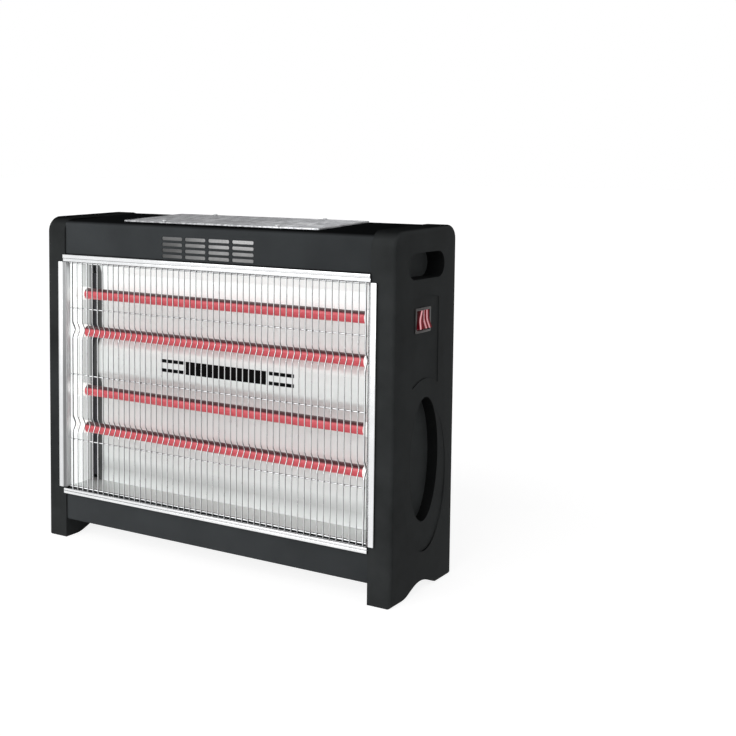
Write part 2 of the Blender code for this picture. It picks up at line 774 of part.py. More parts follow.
def dish_cutter(name):
    """The shallow dish round the oval, whose floor is flush at its top and deepest at its foot."""
    reach = PANEL_THICKNESS
    item = plate(name, [dish_outline(0.0)], PANEL_OUTER, PANEL_OUTER + reach, "X")
    pivot = Vector((PANEL_OUTER, 0.0, DISH_Z + DISH_HALF_HEIGHT))
    lean = Matrix.Rotation(math.atan2(DISH_DEPTH, 2 * DISH_HALF_HEIGHT), 4, "Y")
    item.data.transform(Matrix.Translation(pivot) @ lean @ Matrix.Translation(-pivot))
    return item


def side_hollow(name, has_switch):
    """The space inside a side panel, drawn back behind each recess to leave a wall there."""
    hollow = panel_blank(
        name, PANEL_WALL, PANEL_INNER - PANEL_THICKNESS, PANEL_OUTER - PANEL_WALL,
        PANEL_EDGE_ROUND - PANEL_WALL,
    )
    boolean(hollow, foot_cutter(name + "_feet", PANEL_WALL))
    kept = [
        ("handle", handle_outline(PANEL_WALL), HANDLE_DEPTH),
        ("oval", oval_outline(PANEL_WALL), OVAL_DEPTH),
        ("dish", dish_outline(PANEL_WALL), DISH_DEPTH),
    ]
    if has_switch:
        kept.append(("recess", recess_outline(PANEL_WALL), RECESS_DEPTH))
    for label, outline, depth in kept:
        low = PANEL_OUTER - depth - PANEL_WALL
        boolean(hollow, plate(f"{name}_{label}", [outline], low, PANEL_OUTER + PANEL_THICKNESS, "X"))
    return hollow


def side_panel(name, has_switch):
    """A moulded side panel on the right, hollow and open towards the middle."""
    panel = panel_blank(name, 0.0, PANEL_INNER, PANEL_OUTER, PANEL_EDGE_ROUND, black_plastic())
    boolean(panel, foot_cutter(name + "_feet", 0.0))
    boolean(panel, side_hollow(name + "_hollow", has_switch))
    low = END_PLATE_OUTER + CLEARANCE
    seats = [((low, y, z), (PANEL_OUTER - PANEL_WALL / 2, y, z)) for y, z in BOSS_PLACES]
    boolean(panel, rods(name + "_bosses", seats, BOSS_RADIUS), "UNION")
    depth = low + BOSS_BORE_DEPTH
    bores = [((PANEL_INNER - CUT_MARGIN, y, z), (depth, y, z)) for y, z in BOSS_PLACES]
    boolean(panel, rods(name + "_bores", bores, SCREW_HOLE_RADIUS))
    cuts = [("handle", handle_outline(0.0), HANDLE_DEPTH), ("oval", oval_outline(0.0), OVAL_DEPTH)]
    if has_switch:
        cuts.append(("recess", recess_outline(0.0), RECESS_DEPTH))
        half_width = SWITCH_BODY_WIDTH / 2 + CLEARANCE
        half_height = SWITCH_BODY_HEIGHT / 2 + CLEARANCE
        low = SWITCH_Z - half_height
        high = SWITCH_Z + half_height
        hole = rectangle(SWITCH_Y - half_width, SWITCH_Y + half_width, low, high)
        cuts.append(("switch_hole", hole, PANEL_THICKNESS / 2))
    for label, outline, reach in cuts:
        deep = PANEL_OUTER - reach
        boolean(panel, plate(f"{name}_cut_{label}", [outline], deep, PANEL_OUTER + CUT_MARGIN, "X"))
    boolean(panel, dish_cutter(name + "_cut_dish"))
    return panel


def side_panels():
    side_panel("side_panel_right", True)
    model = side_panel("side_panel_left_model", False)
    bpy.context.view_layer.update()
    mirrored("side_panel_left", model, black_plastic())
    bpy.data.objects.remove(model, do_unlink=True)


def vent_cutters():
    """The slots in the upper fascia, in rows and columns about the middle."""
    pitch_x = VENT_LENGTH + VENT_GAP_X
    pitch_z = VENT_HEIGHT + VENT_GAP_Z
    outlines = []
    for column in range(VENT_COLUMNS):
        for row in range(VENT_ROWS):
            x = pitch_x * (column - (VENT_COLUMNS - 1) / 2)
            z = VENT_BOTTOM + VENT_HEIGHT / 2 + pitch_z * row
            half = VENT_LENGTH / 2
            rise = VENT_HEIGHT / 2
            outlines.append(rectangle(x - half, x + half, z - rise, z + rise, rise * 0.7, 1))
    return plate("vents", outlines, CASING_FRONT - CUT_MARGIN, CASING_FRONT + CUT_MARGIN, "Y")


def back_screw_runs():
    """Straight runs through the rear sheets at the base pan's lip, for the screws' holes."""
    front = PAN_REAR - CUT_MARGIN
    rear = BACK_OUTER + CUT_MARGIN
    return [((x, front, PAN_SCREW_Z), (x, rear, PAN_SCREW_Z)) for x in BACK_SCREW_X]


def mesh_screw_places():
    """Where the mesh plate is screwed down, as (x, y)."""
    rows = (MESH_FRONT + MESH_SCREW_INSET, MESH_REAR - MESH_SCREW_INSET)
    return [(x, y) for y in rows for x in (-MESH_SCREW_X, MESH_SCREW_X)]


def upper_casing():
    """The folded top: the lip over the guard, the fascia, the sloping top and the rear flange."""
    corners = (
        (CASING_REAR, CASING_TOP_REAR - CASING_REAR_FLANGE, 0.0),
        (CASING_REAR, CASING_TOP_REAR, CASING_REAR_RADIUS),
        (CASING_FRONT, CASING_TOP_FRONT, CASING_FRONT_RADIUS),
        (CASING_FRONT, CASING_STEP, FOLD_RADIUS),
        (LIP_FACE, CASING_STEP, FOLD_RADIUS / 2),
        (LIP_FACE, OPENING_TOP, 0.0),
    )
    casing = bent_sheet("upper_casing", rounded_path(corners), CASING_X, SHEET, charcoal_paint())
    boolean(casing, vent_cutters())
    half = TOP_OPENING_HALF_LENGTH
    opening = rectangle(-half, half, TOP_OPENING_FRONT, TOP_OPENING_REAR, CASING_REAR_RADIUS)
    low = CASING_TOP_FRONT - CASING_REAR_FLANGE / 2
    boolean(casing, plate("top_opening", [opening], low, HEIGHT + CUT_MARGIN, "Z"))
    runs = [((x, y, low), (x, y, HEIGHT + CUT_MARGIN)) for x, y in mesh_screw_places()]
    boolean(casing, rods("casing_screw_holes", runs, SCREW_HOLE_RADIUS, 10))


def base_pan():
    """The folded base: the lip under the guard, the lower fascia, the bottom and the rear lip."""
    corners = (
        (LIP_FACE, OPENING_BOTTOM, 0.0),
        (LIP_FACE, PAN_STEP, FOLD_RADIUS / 2),
        (CASING_FRONT, PAN_STEP, FOLD_RADIUS),
        (CASING_FRONT, PAN_BOTTOM, FOLD_RADIUS * 1.5),
        (PAN_REAR, PAN_BOTTOM, FOLD_RADIUS),
        (PAN_REAR, PAN_BOTTOM + PAN_REAR_LIP, 0.0),
    )
    pan = bent_sheet("base_pan", rounded_path(corners), CASING_X, SHEET, charcoal_paint())
    boolean(pan, rods("pan_screw_holes", back_screw_runs(), SCREW_HOLE_RADIUS, 10))


def back_panel():
    """The flat rear cover with its cooling slots, screw holes and the gland's hole."""
    half = CASING_X - BACK_SIDE_GAP
    top = CASING_TOP_REAR - CASING_REAR_RADIUS - BACK_TOP_GAP
    outlines = [rectangle(-half, half, PAN_BOTTOM, top)]
    for column in range(BACK_SLOT_COLUMNS):
        for row in range(BACK_SLOT_ROWS):
            x = BACK_SLOT_PITCH_X * (column - (BACK_SLOT_COLUMNS - 1) / 2)
            z = BACK_SLOT_TOP - BACK_SLOT_PITCH_Z * row
            reach = BACK_SLOT_LENGTH / 2
            rise = BACK_SLOT_HEIGHT / 2
            outlines.append(rectangle(x - reach, x + reach, z - rise, z + rise, rise * 0.7, 1))
    outlines += [circle(x, PAN_SCREW_Z, SCREW_HOLE_RADIUS, 10) for x in BACK_SCREW_X]
    outlines.append(circle(GLAND_X, GLAND_Z, GLAND_NECK_RADIUS + CLEARANCE, 20))
    plate("back_panel", outlines, BACK_INNER, BACK_OUTER, "Y", charcoal_paint())


def end_plates():
    """The upright steel plates that carry the tubes, the reflector and the side panels."""
    drop = SHEET + CLEARANCE
    corners = (
        (END_PLATE_FRONT, PAN_FLOOR + CLEARANCE, FOLD_RADIUS),
        (END_PLATE_REAR, PAN_FLOOR + CLEARANCE, FOLD_RADIUS),
        (END_PLATE_REAR, casing_top(END_PLATE_REAR) - drop, CASING_REAR_RADIUS),
        (END_PLATE_FRONT, casing_top(END_PLATE_FRONT) - drop, FOLD_RADIUS),
    )
    for side, label in ((1, "right"), (-1, "left")):
        outlines = [rounded_path(corners, 3)]
        outlines += [circle(TUBE_Y, z, CAP_NECK_RADIUS + CLEARANCE) for z in TUBE_HEIGHTS]
        outlines += [circle(y, z, SCREW_HOLE_RADIUS, 10) for y, z in BOSS_PLACES]
        if side == 1:
            outlines.append(circle(GROMMET_Y, GROMMET_Z, GROMMET_BORE + GROMMET_WALL + CLEARANCE))
        low, high = sorted((side * END_PLATE_INNER, side * END_PLATE_OUTER))
        plate(f"end_plate_{label}", outlines, low, high, "X", plated_steel())


def cheeks():
    """The polished sheets at the ends of the glowing cavity, round the tubes' caps."""
    front = END_PLATE_FRONT - CHEEK_FRONT_INSET
    top = OPENING_TOP - FOLD_RADIUS - CLEARANCE
    for side, label in ((1, "right"), (-1, "left")):
        outline = [
            Vector((front, floor_top(front) + CLEARANCE)),
            Vector((CHEEK_REAR, floor_top(CHEEK_REAR) + CLEARANCE)),
            Vector((CHEEK_REAR, top)),
            Vector((front, top)),
        ]
        holes = [circle(TUBE_Y, z, CAP_NECK_RADIUS + CLEARANCE) for z in TUBE_HEIGHTS]
        low, high = sorted((side * CHEEK_INNER, side * CHEEK_OUTER))
        plate(f"cheek_{label}", [outline] + holes, low, high, "X", polished_sheet())


def cavity_floor():
    """The bright sheet under the tubes, lying over the base pan's lip."""
    rear = REFLECTOR_Y + FLOOR_REAR_REACH
    front = LIP_FACE - FLOOR_LIP / 2
    path = ((rear, floor_top(rear)), (front, floor_top(front)))
    bent_sheet("cavity_floor", path, CAP_SHOULDER, BRIGHT_SHEET, polished_sheet())


def reflector():
    """The main reflector behind the tubes: a roof, a hump at its middle and two slots at each side there."""
    roof = OPENING_TOP - REFLECTOR_ROOF_DROP
    wall_top = roof - REFLECTOR_ROOF_SLOPE
    foot = floor_top(REFLECTOR_Y) + CLEARANCE
    low_tube = TUBE_HEIGHTS[-1]
    corners = (
        (REFLECTOR_Y - REFLECTOR_ROOF_REACH, roof, 0.0),
        (REFLECTOR_Y - REFLECTOR_CORNER_REACH, wall_top, HUMP_RADIUS * 0.3),
        (REFLECTOR_Y, wall_top - REFLECTOR_CORNER_DROP, HUMP_RADIUS / 2),
        (REFLECTOR_Y, HUMP_Z + HUMP_HALF_FLAT + HUMP_SLOPE, HUMP_RADIUS),
        (HUMP_Y, HUMP_Z + HUMP_HALF_FLAT, HUMP_RADIUS),
        (HUMP_Y, HUMP_Z - HUMP_HALF_FLAT, HUMP_RADIUS),
        (REFLECTOR_Y, HUMP_Z - HUMP_HALF_FLAT - HUMP_SLOPE, HUMP_RADIUS),
        (REFLECTOR_Y - REFLECTOR_LOW_REACH, low_tube - REFLECTOR_LOW_DROP, 0.0),
        (REFLECTOR_Y + REFLECTOR_BULGE, foot + REFLECTOR_FOOT_RISE, HUMP_RADIUS / 2),
        (REFLECTOR_Y - REFLECTOR_FOOT_REACH, foot, 0.0),
    )
    path = rounded_path(corners)
    sheet = bent_sheet("reflector", path, REFLECTOR_HALF_LENGTH, BRIGHT_SHEET, polished_sheet())
    slots = []
    start = BADGE_HALF_LENGTH + SLOT_GAP
    for side in (-1, 1):
        ends = sorted((side * start, side * (start + SLOT_LENGTH)))
        for low in (BADGE_LOW, BADGE_LOW + BADGE_HEIGHT - SLOT_HEIGHT):
            slots.append(rectangle(ends[0], ends[1], low, low + SLOT_HEIGHT))
    boolean(sheet, plate("reflector_slots", slots, HUMP_Y - CUT_MARGIN, HUMP_Y + CUT_MARGIN, "Y"))


def reflector_brackets():
    """Upright dark straps behind the reflector's ends, which close the gap to the end plates."""
    front = REFLECTOR_Y + BRIGHT_SHEET + BRACKET_GAP + CLEARANCE
    low = floor_top(REFLECTOR_Y) + BRACKET_FOOT
    high = OPENING_TOP - BRACKET_HEAD
    for side, label in ((1, "right"), (-1, "left")):
        ends = sorted((side * CHEEK_OUTER, side * (CHEEK_OUTER - BRACKET_WIDTH)))
        name = f"reflector_bracket_{label}"
        outline = rectangle(ends[0], ends[1], low, high)
        plate(name, [outline], front, front + SHEET, "Y", dark_steel())


def heat_shield():
    """The bright sheet over the reflector, which rises to the rear and shows through the vents."""
    start = LIP_FACE + SHIELD_FLAT
    front = END_PLATE_FRONT
    path = (
        (END_PLATE_REAR, shield_top(END_PLATE_REAR)),
        (start, shield_top(start)),
        (front, SHIELD_LEVEL - SHIELD_LIP_DROP),
    )
    bent_sheet("heat_shield", path, CHEEK_OUTER, BRIGHT_SHEET, polished_sheet())


def badge():
    """The dark bar on the reflector's hump."""
    rear = HUMP_Y - CLEARANCE
    outline = rectangle(-BADGE_HALF_LENGTH, BADGE_HALF_LENGTH, BADGE_LOW, BADGE_LOW + BADGE_HEIGHT)
    plate("badge_bar", [outline], rear - BADGE_THICKNESS, rear, "Y", badge_black())


def quartz_tubes():
    """The four glass tubes, held in their caps' sockets."""
    inner = TUBE_RADIUS - TUBE_WALL
    profile = ((TUBE_RADIUS, TUBE_END), (TUBE_RADIUS, -TUBE_END), (inner, -TUBE_END), (inner, TUBE_END))
    for index, z in enumerate(TUBE_HEIGHTS, 1):
        turned(f"quartz_tube_{index}", profile, along_x(0.0, TUBE_Y, z), glowing_quartz())


def end_caps():
    """The eight ceramic caps: a socket for the tube, a neck through the end plate and a wire bore."""
    socket = TUBE_RADIUS + CLEARANCE
    floor = CAP_FACE + CAP_SOCKET_DEPTH
    profile = [
        (CAP_NECK_RADIUS, CAP_END),
        (CAP_NECK_RADIUS, CAP_SHOULDER),
        (CAP_RADIUS, CAP_SHOULDER),
        (CAP_RADIUS, CAP_FACE),
        (socket, CAP_FACE),
        (socket, floor),
        (CAP_BORE_RADIUS, floor),
        (CAP_BORE_RADIUS, CAP_END),
    ]
    for index, z in enumerate(TUBE_HEIGHTS, 1):
        for side, label in ((1, "right"), (-1, "left")):
            name = f"end_cap_{index}_{label}"
            turned(name, profile, along_x(0.0, TUBE_Y, z, side), white_ceramic(), 12)


def coil_route(z):
    """One heating wire: a straight tail at each end and evenly wound loops between."""
    count = COIL_LOOPS * COIL_POINTS
    route = [(-COIL_END, TUBE_Y, z), (-COIL_HALF_LENGTH - COIL_RADIUS * 2, TUBE_Y, z)]
    for step in range(count + 1):
        turn = 2 * math.pi * step / COIL_POINTS
        x = -COIL_HALF_LENGTH + 2 * COIL_HALF_LENGTH * step / count
        route.append((x, TUBE_Y + COIL_RADIUS * math.sin(turn), z + COIL_RADIUS * math.cos(turn)))
    route += [(COIL_HALF_LENGTH + COIL_RADIUS * 2, TUBE_Y, z), (COIL_END, TUBE_Y, z)]
    return route


def least_self_gap(route, radius, apart):
    """The least free distance between stretches of one wire at least that many points apart."""
    places = [Vector(point) for point in route]
    pairs = [(a, b) for index, a in enumerate(places) for b in places[index + apart:]]
    return min((a - b).length for a, b in pairs) - 2 * radius


def heating_coils():
    for index, z in enumerate(TUBE_HEIGHTS, 1):
        route = coil_route(z)
        add_object(f"heating_coil_{index}", wire_curve("coil", [route], COIL_WIRE_RADIUS), hot_wire())
        gap = least_self_gap(route, COIL_WIRE_RADIUS, COIL_POINTS // 2)
        print(f"heating_coil_{index}: least gap to itself {gap * 1000:.2f} mm")


def upright(x, y, low, high):
    """One upright of the guard, with its two rearward crimps."""
    route = [(x, y, low)]
    for middle in CRIMP_HEIGHTS:
        route.append((x, y, middle - CRIMP_HALF_HEIGHT))
        route.append((x, y + CRIMP_DEPTH, middle))
        route.append((x, y, middle + CRIMP_HALF_HEIGHT))
    return route + [(x, y, high)]


def guard():
    """The welded guard: crimped uprights, stouter ones at the ends, three cross wires and two rails."""
    low = PAN_STEP + GUARD_END_MARGIN
    high = CASING_STEP - GUARD_END_MARGIN
    half = GUARD_PITCH * GUARD_GAPS / 2
    thin = [upright(GUARD_PITCH * index - half, WIRE_Y, low, high) for index in range(1, GUARD_GAPS)]
    stout = [upright(x, FRAME_WIRE_Y, low, high) for x in (-half, half)]
    wires = wire_curve("guard", thin, WIRE_RADIUS)
    item = curve_to_mesh("guard", wires, Matrix.Identity(4), chromed_steel())
    ends = wire_curve("guard_ends", stout, FRAME_WIRE_RADIUS)
    boolean(item, curve_to_mesh("guard_ends", ends, Matrix.Identity(4)), "UNION")
    reach = CAP_SHOULDER - GUARD_BAR_GAP
    levels = (PAN_STEP + GUARD_RAIL_FOOT, CASING_STEP - GUARD_RAIL_HEAD)
    bars = [((-reach, RAIL_Y, z), (reach, RAIL_Y, z)) for z in levels]
    boolean(item, rods("guard_rails", bars, RAIL_RADIUS, 4), "UNION")
    bars = [((-reach, CROSS_Y, z), (reach, CROSS_Y, z)) for z in CROSS_WIRE_HEIGHTS]
    boolean(item, rods("guard_cross_wires", bars, CROSS_RADIUS, 6), "UNION")


def long_strip(name, low, high, groove, upper_step):
    """A strip with two bands and a groove between them; the lower band may stand back a step."""
    lower_front = STRIP_FRONT + upper_step
    split = low + groove
    depth = STRIP_FRONT + 2.5 * STRIP_STEP
    half = STRIP_GROOVE / 4
    outline = [
        (STRIP_REAR, low),
        (lower_front + STRIP_BEVEL, low),
        (lower_front, low + STRIP_BEVEL),
        (lower_front, split - half),
        (depth, split - half),
        (depth, split + half),
        (STRIP_FRONT, split + half),
        (STRIP_FRONT, high - STRIP_BEVEL),
        (STRIP_FRONT + STRIP_BEVEL, high),
        (STRIP_REAR, high),
    ]
    points = [Vector(point) for point in outline]
    reach = CASING_X - STRIP_END_GAP
    plate(name, [points], -reach, reach, "X", chromed_steel())


def trim_strips():
    """The chromed frame on the guard: two long strips between the panels and two upright ones."""
    low = PAN_STEP + CLEARANCE
    long_strip("trim_bottom", low, OPENING_BOTTOM - STRIP_OVERLAP, LOWER_BAND, 0.0)
    high = CASING_STEP - CLEARANCE
    long_strip("trim_top", OPENING_TOP - STRIP_OVERLAP, high, UPPER_BAND, STRIP_STEP)
    back = PANEL_FRONT - CLEARANCE
    inner = CHEEK_INNER + SIDE_STRIP_GAP
    web = inner + SIDE_STRIP_WALL
    outer = inner + SIDE_STRIP_FACE
    tail = STRIP_REAR + SIDE_STRIP_LEG
    section = [
        (outer, back),
        (web, back),
        (web, tail),
        (inner, tail),
        (inner, back - STRIP_END_GAP),
        (inner + SIDE_STRIP_CHAMFER, STRIP_FRONT),
        (outer - SIDE_STRIP_BEVEL, STRIP_FRONT),
        (outer, STRIP_FRONT + SIDE_STRIP_BEVEL),
    ]
    low = OPENING_BOTTOM + SIDE_STRIP_FOOT
    high = OPENING_TOP - SIDE_STRIP_HEAD
    for side, label in ((1, "right"), (-1, "left")):
        points = [Vector((side * x, y)) for x, y in section]
        plate(f"trim_{label}", [points], low, high, "Z", chromed_steel())


def mesh_plate():
    """The expanded-metal plate on the top: diamond holes, and a rim turned down to the casing."""
    deep = MESH_REAR - MESH_FRONT
    half = MESH_HALF_LENGTH
    outline = rectangle(-half, half, 0.0, deep, MESH_CORNER, 2)
    thickness = MESH_HEIGHT - CLEARANCE
    item = plate("mesh_plate", [outline], 0.0, thickness, "Z", plated_steel())
    inner = rectangle(-half + MESH_RIM, half - MESH_RIM, MESH_RIM, deep - MESH_RIM)
    pocket = plate("mesh_pocket", [inner], -CUT_MARGIN, thickness - MESH_SHEET, "Z")
    pitch_x = DIAMOND_LENGTH + DIAMOND_STRAND
    pitch_y = DIAMOND_WIDTH + DIAMOND_STRAND
    columns = int((2 * half - 2 * MESH_MARGIN) / pitch_x)
    rows = int((deep - 2 * MESH_MARGIN + DIAMOND_STRAND) / pitch_y)
    holes = []
    for row in range(rows):
        shift = pitch_x / 2 if row % 2 else 0.0
        for column in range(columns - row % 2):
            x = pitch_x * (column - (columns - 1) / 2) + shift
            y = deep / 2 + pitch_y * (row - (rows - 1) / 2)
            holes.append(ellipse(x, y, DIAMOND_LENGTH / 2, DIAMOND_WIDTH / 2, 4))
    diamonds = plate("mesh_diamonds", holes, -CUT_MARGIN, CUT_MARGIN, "Z")
    places = [(x, y - MESH_FRONT) for x, y in mesh_screw_places()]
    runs = [((x, y, -CUT_MARGIN), (x, y, CUT_MARGIN)) for x, y in places]
    bores = rods("mesh_screw_holes", runs, SCREW_HOLE_RADIUS, 10)
    lean = Matrix.Rotation(math.atan(CASING_TOP_SLOPE), 4, "X")
    place = Matrix.Translation((0.0, MESH_FRONT, casing_top(MESH_FRONT) + CLEARANCE)) @ lean
    for piece in (item, pocket, diamonds, bores):
        piece.matrix_world = place
    for cutter in (pocket, diamonds, bores):
        boolean(item, cutter)


def screw(name, place, length):
    """A pan-head screw whose shank runs down the place's Z axis from the head's underside."""
    profile = (
        (SCREW_HEAD_RADIUS, 0.0), (SCREW_HEAD_RADIUS, -SCREW_HEAD_HEIGHT / 2),
        (SCREW_HEAD_RADIUS * 0.7, -SCREW_HEAD_HEIGHT), (SOCKET_RADIUS, -SCREW_HEAD_HEIGHT),
        (SOCKET_RADIUS, length), (SCREW_RADIUS, length), (SCREW_RADIUS, 0.0),
    )
    turned(name, profile, place, plated_steel(), 7)


def fasteners():
    """The screws that hold the mesh plate and the back panel."""
    down = Matrix.Rotation(math.pi, 4, "X")
    lean = Matrix.Rotation(math.atan(CASING_TOP_SLOPE), 4, "X")
    for index, (x, y) in enumerate(mesh_screw_places(), 1):
        level = casing_top(y) + MESH_HEIGHT + CLEARANCE
        screw(f"mesh_screw_{index}", Matrix.Translation((x, y, level)) @ lean @ down, SCREW_LENGTH)
    forward = Matrix.Rotation(math.pi / 2, 4, "X")
    for index, x in enumerate(BACK_SCREW_X, 1):
        place = Matrix.Translation((x, BACK_OUTER + CLEARANCE, PAN_SCREW_Z))
        screw(f"back_screw_{index}", place @ forward, SCREW_LENGTH)


def switch_housing():
    """The switch's housing: a bezel on the recess, a body behind it and a pocket for each rocker."""
    half = BEZEL_WIDTH / 2
    rise = BEZEL_HEIGHT / 2
    front = SWITCH_Y - half
    bezel = rectangle(front, SWITCH_Y + half, SWITCH_Z - rise, SWITCH_Z + rise, BEZEL_CORNER, 3)
    item = plate("switch_housing", [bezel], BEZEL_BACK, BEZEL_FACE, "X", switch_black())
    half = SWITCH_BODY_WIDTH / 2
    rise = SWITCH_BODY_HEIGHT / 2
    body = rectangle(SWITCH_Y - half, SWITCH_Y + half, SWITCH_Z - rise, SWITCH_Z + rise)
    overlap = BEZEL_THICKNESS / 2
    boolean(item, plate("switch_body", [body], SWITCH_BACK, BEZEL_BACK + overlap, "X"), "UNION")
    pockets = []
    for side in (-1, 1):
        y = SWITCH_Y + side * ROCKER_OFFSET
        half = POCKET_WIDTH / 2
        rise = POCKET_HEIGHT / 2
        pockets.append(rectangle(y - half, y + half, SWITCH_Z - rise, SWITCH_Z + rise))
    floor = ROCKER_AXIS_X - ROCKER_UNDERSIDE - 2 * ROCKER_SIDE_GAP
    boolean(item, plate("switch_pockets", pockets, floor, BEZEL_FACE + CUT_MARGIN, "X"))
    boolean(item, rods("switch_bore", [axle_run(BEZEL_WIDTH)], AXLE_RADIUS + CLEARANCE, 12))


def axle_run(reach):
    """A straight run along the rockers' axis, that far to each side of the switch's middle."""
    return (ROCKER_AXIS_X, SWITCH_Y - reach, SWITCH_Z), (ROCKER_AXIS_X, SWITCH_Y + reach, SWITCH_Z)


def switch_axle():
    reach = SWITCH_BODY_WIDTH / 2 - AXLE_END_GAP
    rods("switch_axle", [axle_run(reach)], AXLE_RADIUS, 12, plated_steel())


def rockers():
    """The two red rockers, each turning on the axle; at rest their lower ends stand out."""
    end = ROCKER_HALF_LENGTH
    corners = (
        (-end, ROCKER_END_HEIGHT, 0.0),
        (-end, ROCKER_EDGE, 0.0),
        (-end / 3, -ROCKER_UNDERSIDE, 0.0),
        (end / 3, -ROCKER_UNDERSIDE, 0.0),
        (end, ROCKER_EDGE, 0.0),
        (end, ROCKER_END_HEIGHT, 0.0),
        (0.0, ROCKER_VALLEY_HEIGHT, ROCKER_VALLEY_RADIUS),
    )
    # The outline is drawn with z across and x up, then stood in place
    outline = rounded_path(corners, 12)
    width = POCKET_WIDTH / 2 - ROCKER_SIDE_GAP
    stand = Matrix(((0, 1, 0, 0), (0, 0, 1, 0), (1, 0, 0, 0), (0, 0, 0, 1)))
    for index, side in ((1, -1), (2, 1)):
        name = f"rocker_{index}"
        bore = circle(0.0, 0.0, AXLE_RADIUS + CLEARANCE, 12)
        item = plate(name, [outline, bore], -width, width, "Z", switch_red())
        item.data.transform(stand)
        item.location = (ROCKER_AXIS_X, SWITCH_Y + side * ROCKER_OFFSET, SWITCH_Z)
        item.rotation_euler = (0.0, -ROCKER_TILT, 0.0)


def switch_terminal_places():
    """Where the leads enter the back of the switch's body, as (y, z), front to rear."""
    step = SWITCH_BODY_WIDTH / 4
    rise = SWITCH_BODY_HEIGHT / 5
    high = SWITCH_Z + rise
    return ((SWITCH_Y - step, high), (SWITCH_Y, SWITCH_Z - rise), (SWITCH_Y + step, high))


def standing_box(name, x, y, size, surface):
    """A fitting that stands on the base pan's floor, centred at (x, y)."""
    level = PAN_FLOOR + CLEARANCE
    low = (x - size[0] / 2, y - size[1] / 2, level)
    high = (x + size[0] / 2, y + size[1] / 2, level + size[2])
    return box(name, low, high, surface, FITTING_EDGE)


def terminal_top():
    return PAN_FLOOR + CLEARANCE + TERMINAL_SIZE[2]


def fittings():
    """The terminal block, the tilt switch and the thermal cut-out."""
    block = standing_box("terminal_block", TERMINAL_X, TERMINAL_Y, TERMINAL_SIZE, white_ceramic())
    wells = []
    for step in (-1, 0, 1):
        x = TERMINAL_X + step * TERMINAL_PITCH
        y = TERMINAL_Y - TERMINAL_SIZE[1] / 4
        foot = terminal_top() - TERMINAL_SIZE[2] / 3
        wells.append(((x, y, foot), (x, y, terminal_top() + CUT_MARGIN)))
    boolean(block, rods("terminal_wells", wells, TERMINAL_WELL_RADIUS, 10))
    standing_box("tilt_switch", TILT_SWITCH_X, TERMINAL_Y, TILT_SWITCH_SIZE, black_plastic())
    seat = REFLECTOR_Y + BRIGHT_SHEET + CLEARANCE
    middle = (HUMP_Z + HUMP_HALF_FLAT + HUMP_SLOPE + OPENING_TOP) / 2
    cutout = [((CUTOUT_X, seat, middle), (CUTOUT_X, seat + CUTOUT_THICKNESS, middle))]
    rods("thermal_cutout", cutout, CUTOUT_RADIUS, 20, grey_nylon())


def grommet():
    """The rubber ring that lines the leads' hole in the right end plate."""
    neck = GROMMET_BORE + GROMMET_WALL
    flange = neck + GROMMET_FLANGE
    low = END_PLATE_INNER - CLEARANCE
    high = END_PLATE_OUTER + CLEARANCE
    thick = GROMMET_FLANGE_DEPTH
    profile = (
        (flange, high + thick), (flange, high), (neck, high), (neck, low),
        (flange, low), (flange, low - thick), (GROMMET_BORE, low - thick), (GROMMET_BORE, high + thick),
    )
    turned("lead_grommet", profile, along_x(0.0, GROMMET_Y, GROMMET_Z), black_plastic())


def cord_gland():
    """The flanged sleeve in the back panel through which the supply cord comes in."""
    start = BACK_OUTER + CLEARANCE
    profile = (
        (GLAND_MOUTH, start + GLAND_FLANGE),
        (GLAND_FLANGE_RADIUS, start + GLAND_FLANGE / 2),
        (GLAND_FLANGE_RADIUS, start),
        (GLAND_NECK_RADIUS, start),
        (GLAND_NECK_RADIUS, BACK_INNER - GLAND_REACH),
        (GLAND_BORE, BACK_INNER - GLAND_REACH),
        (GLAND_BORE, start + GLAND_FLANGE),
    )
    rearward = Matrix.Translation((GLAND_X, 0.0, GLAND_Z)) @ Matrix.Rotation(-math.pi / 2, 4, "X")
    turned("cord_gland", profile, rearward, black_plastic())


def jumper_leads():
    """The looped leads on the left that join the tubes in pairs."""
    out = LEAD_START + LEAD_STRAIGHT
    bend = JUMPER_BEND
    far = out + bend / 9
    for label, high, low in (("upper", *TUBE_HEIGHTS[:2]), ("lower", *TUBE_HEIGHTS[2:])):
        lead(f"jumper_lead_{label}", [
            (-LEAD_START, TUBE_Y, high),
            (-out, TUBE_Y, high - bend / 12),
            (-far, TUBE_Y, high - bend),
            (-far, TUBE_Y, low + bend),
            (-out, TUBE_Y, low + bend / 12),
            (-LEAD_START, TUBE_Y, low),
        ])


def through_grommet(turn):
    """Two points that take a lead through the end plate, on its own side of the grommet's bore."""
    spread = 0.46 * GROMMET_BORE
    y = GROMMET_Y + spread * math.cos(turn)
    z = GROMMET_Z + spread * math.sin(turn)
    reach = 10 * CLEARANCE
    return [(END_PLATE_OUTER + reach, y, z), (END_PLATE_INNER - reach, y, z)]


def into_block(step, lift):
    """Three points that bring a lead down onto the terminal block."""
    x = TERMINAL_X + step * TERMINAL_PITCH
    y = TERMINAL_Y + TERMINAL_SIZE[1] / 4
    end_z = terminal_top() + CLEARANCE
    return [(x + LEAD_ENTRY, y, end_z + lift), (x, y, end_z + lift / 2), (x, y, end_z)]


def into_switch(place):
    """Two points that bring a lead straight into the back of the switch."""
    y, z = place
    back = SWITCH_BACK - CLEARANCE
    return [(back - LEAD_ENTRY, y, z), (back, y, z)]


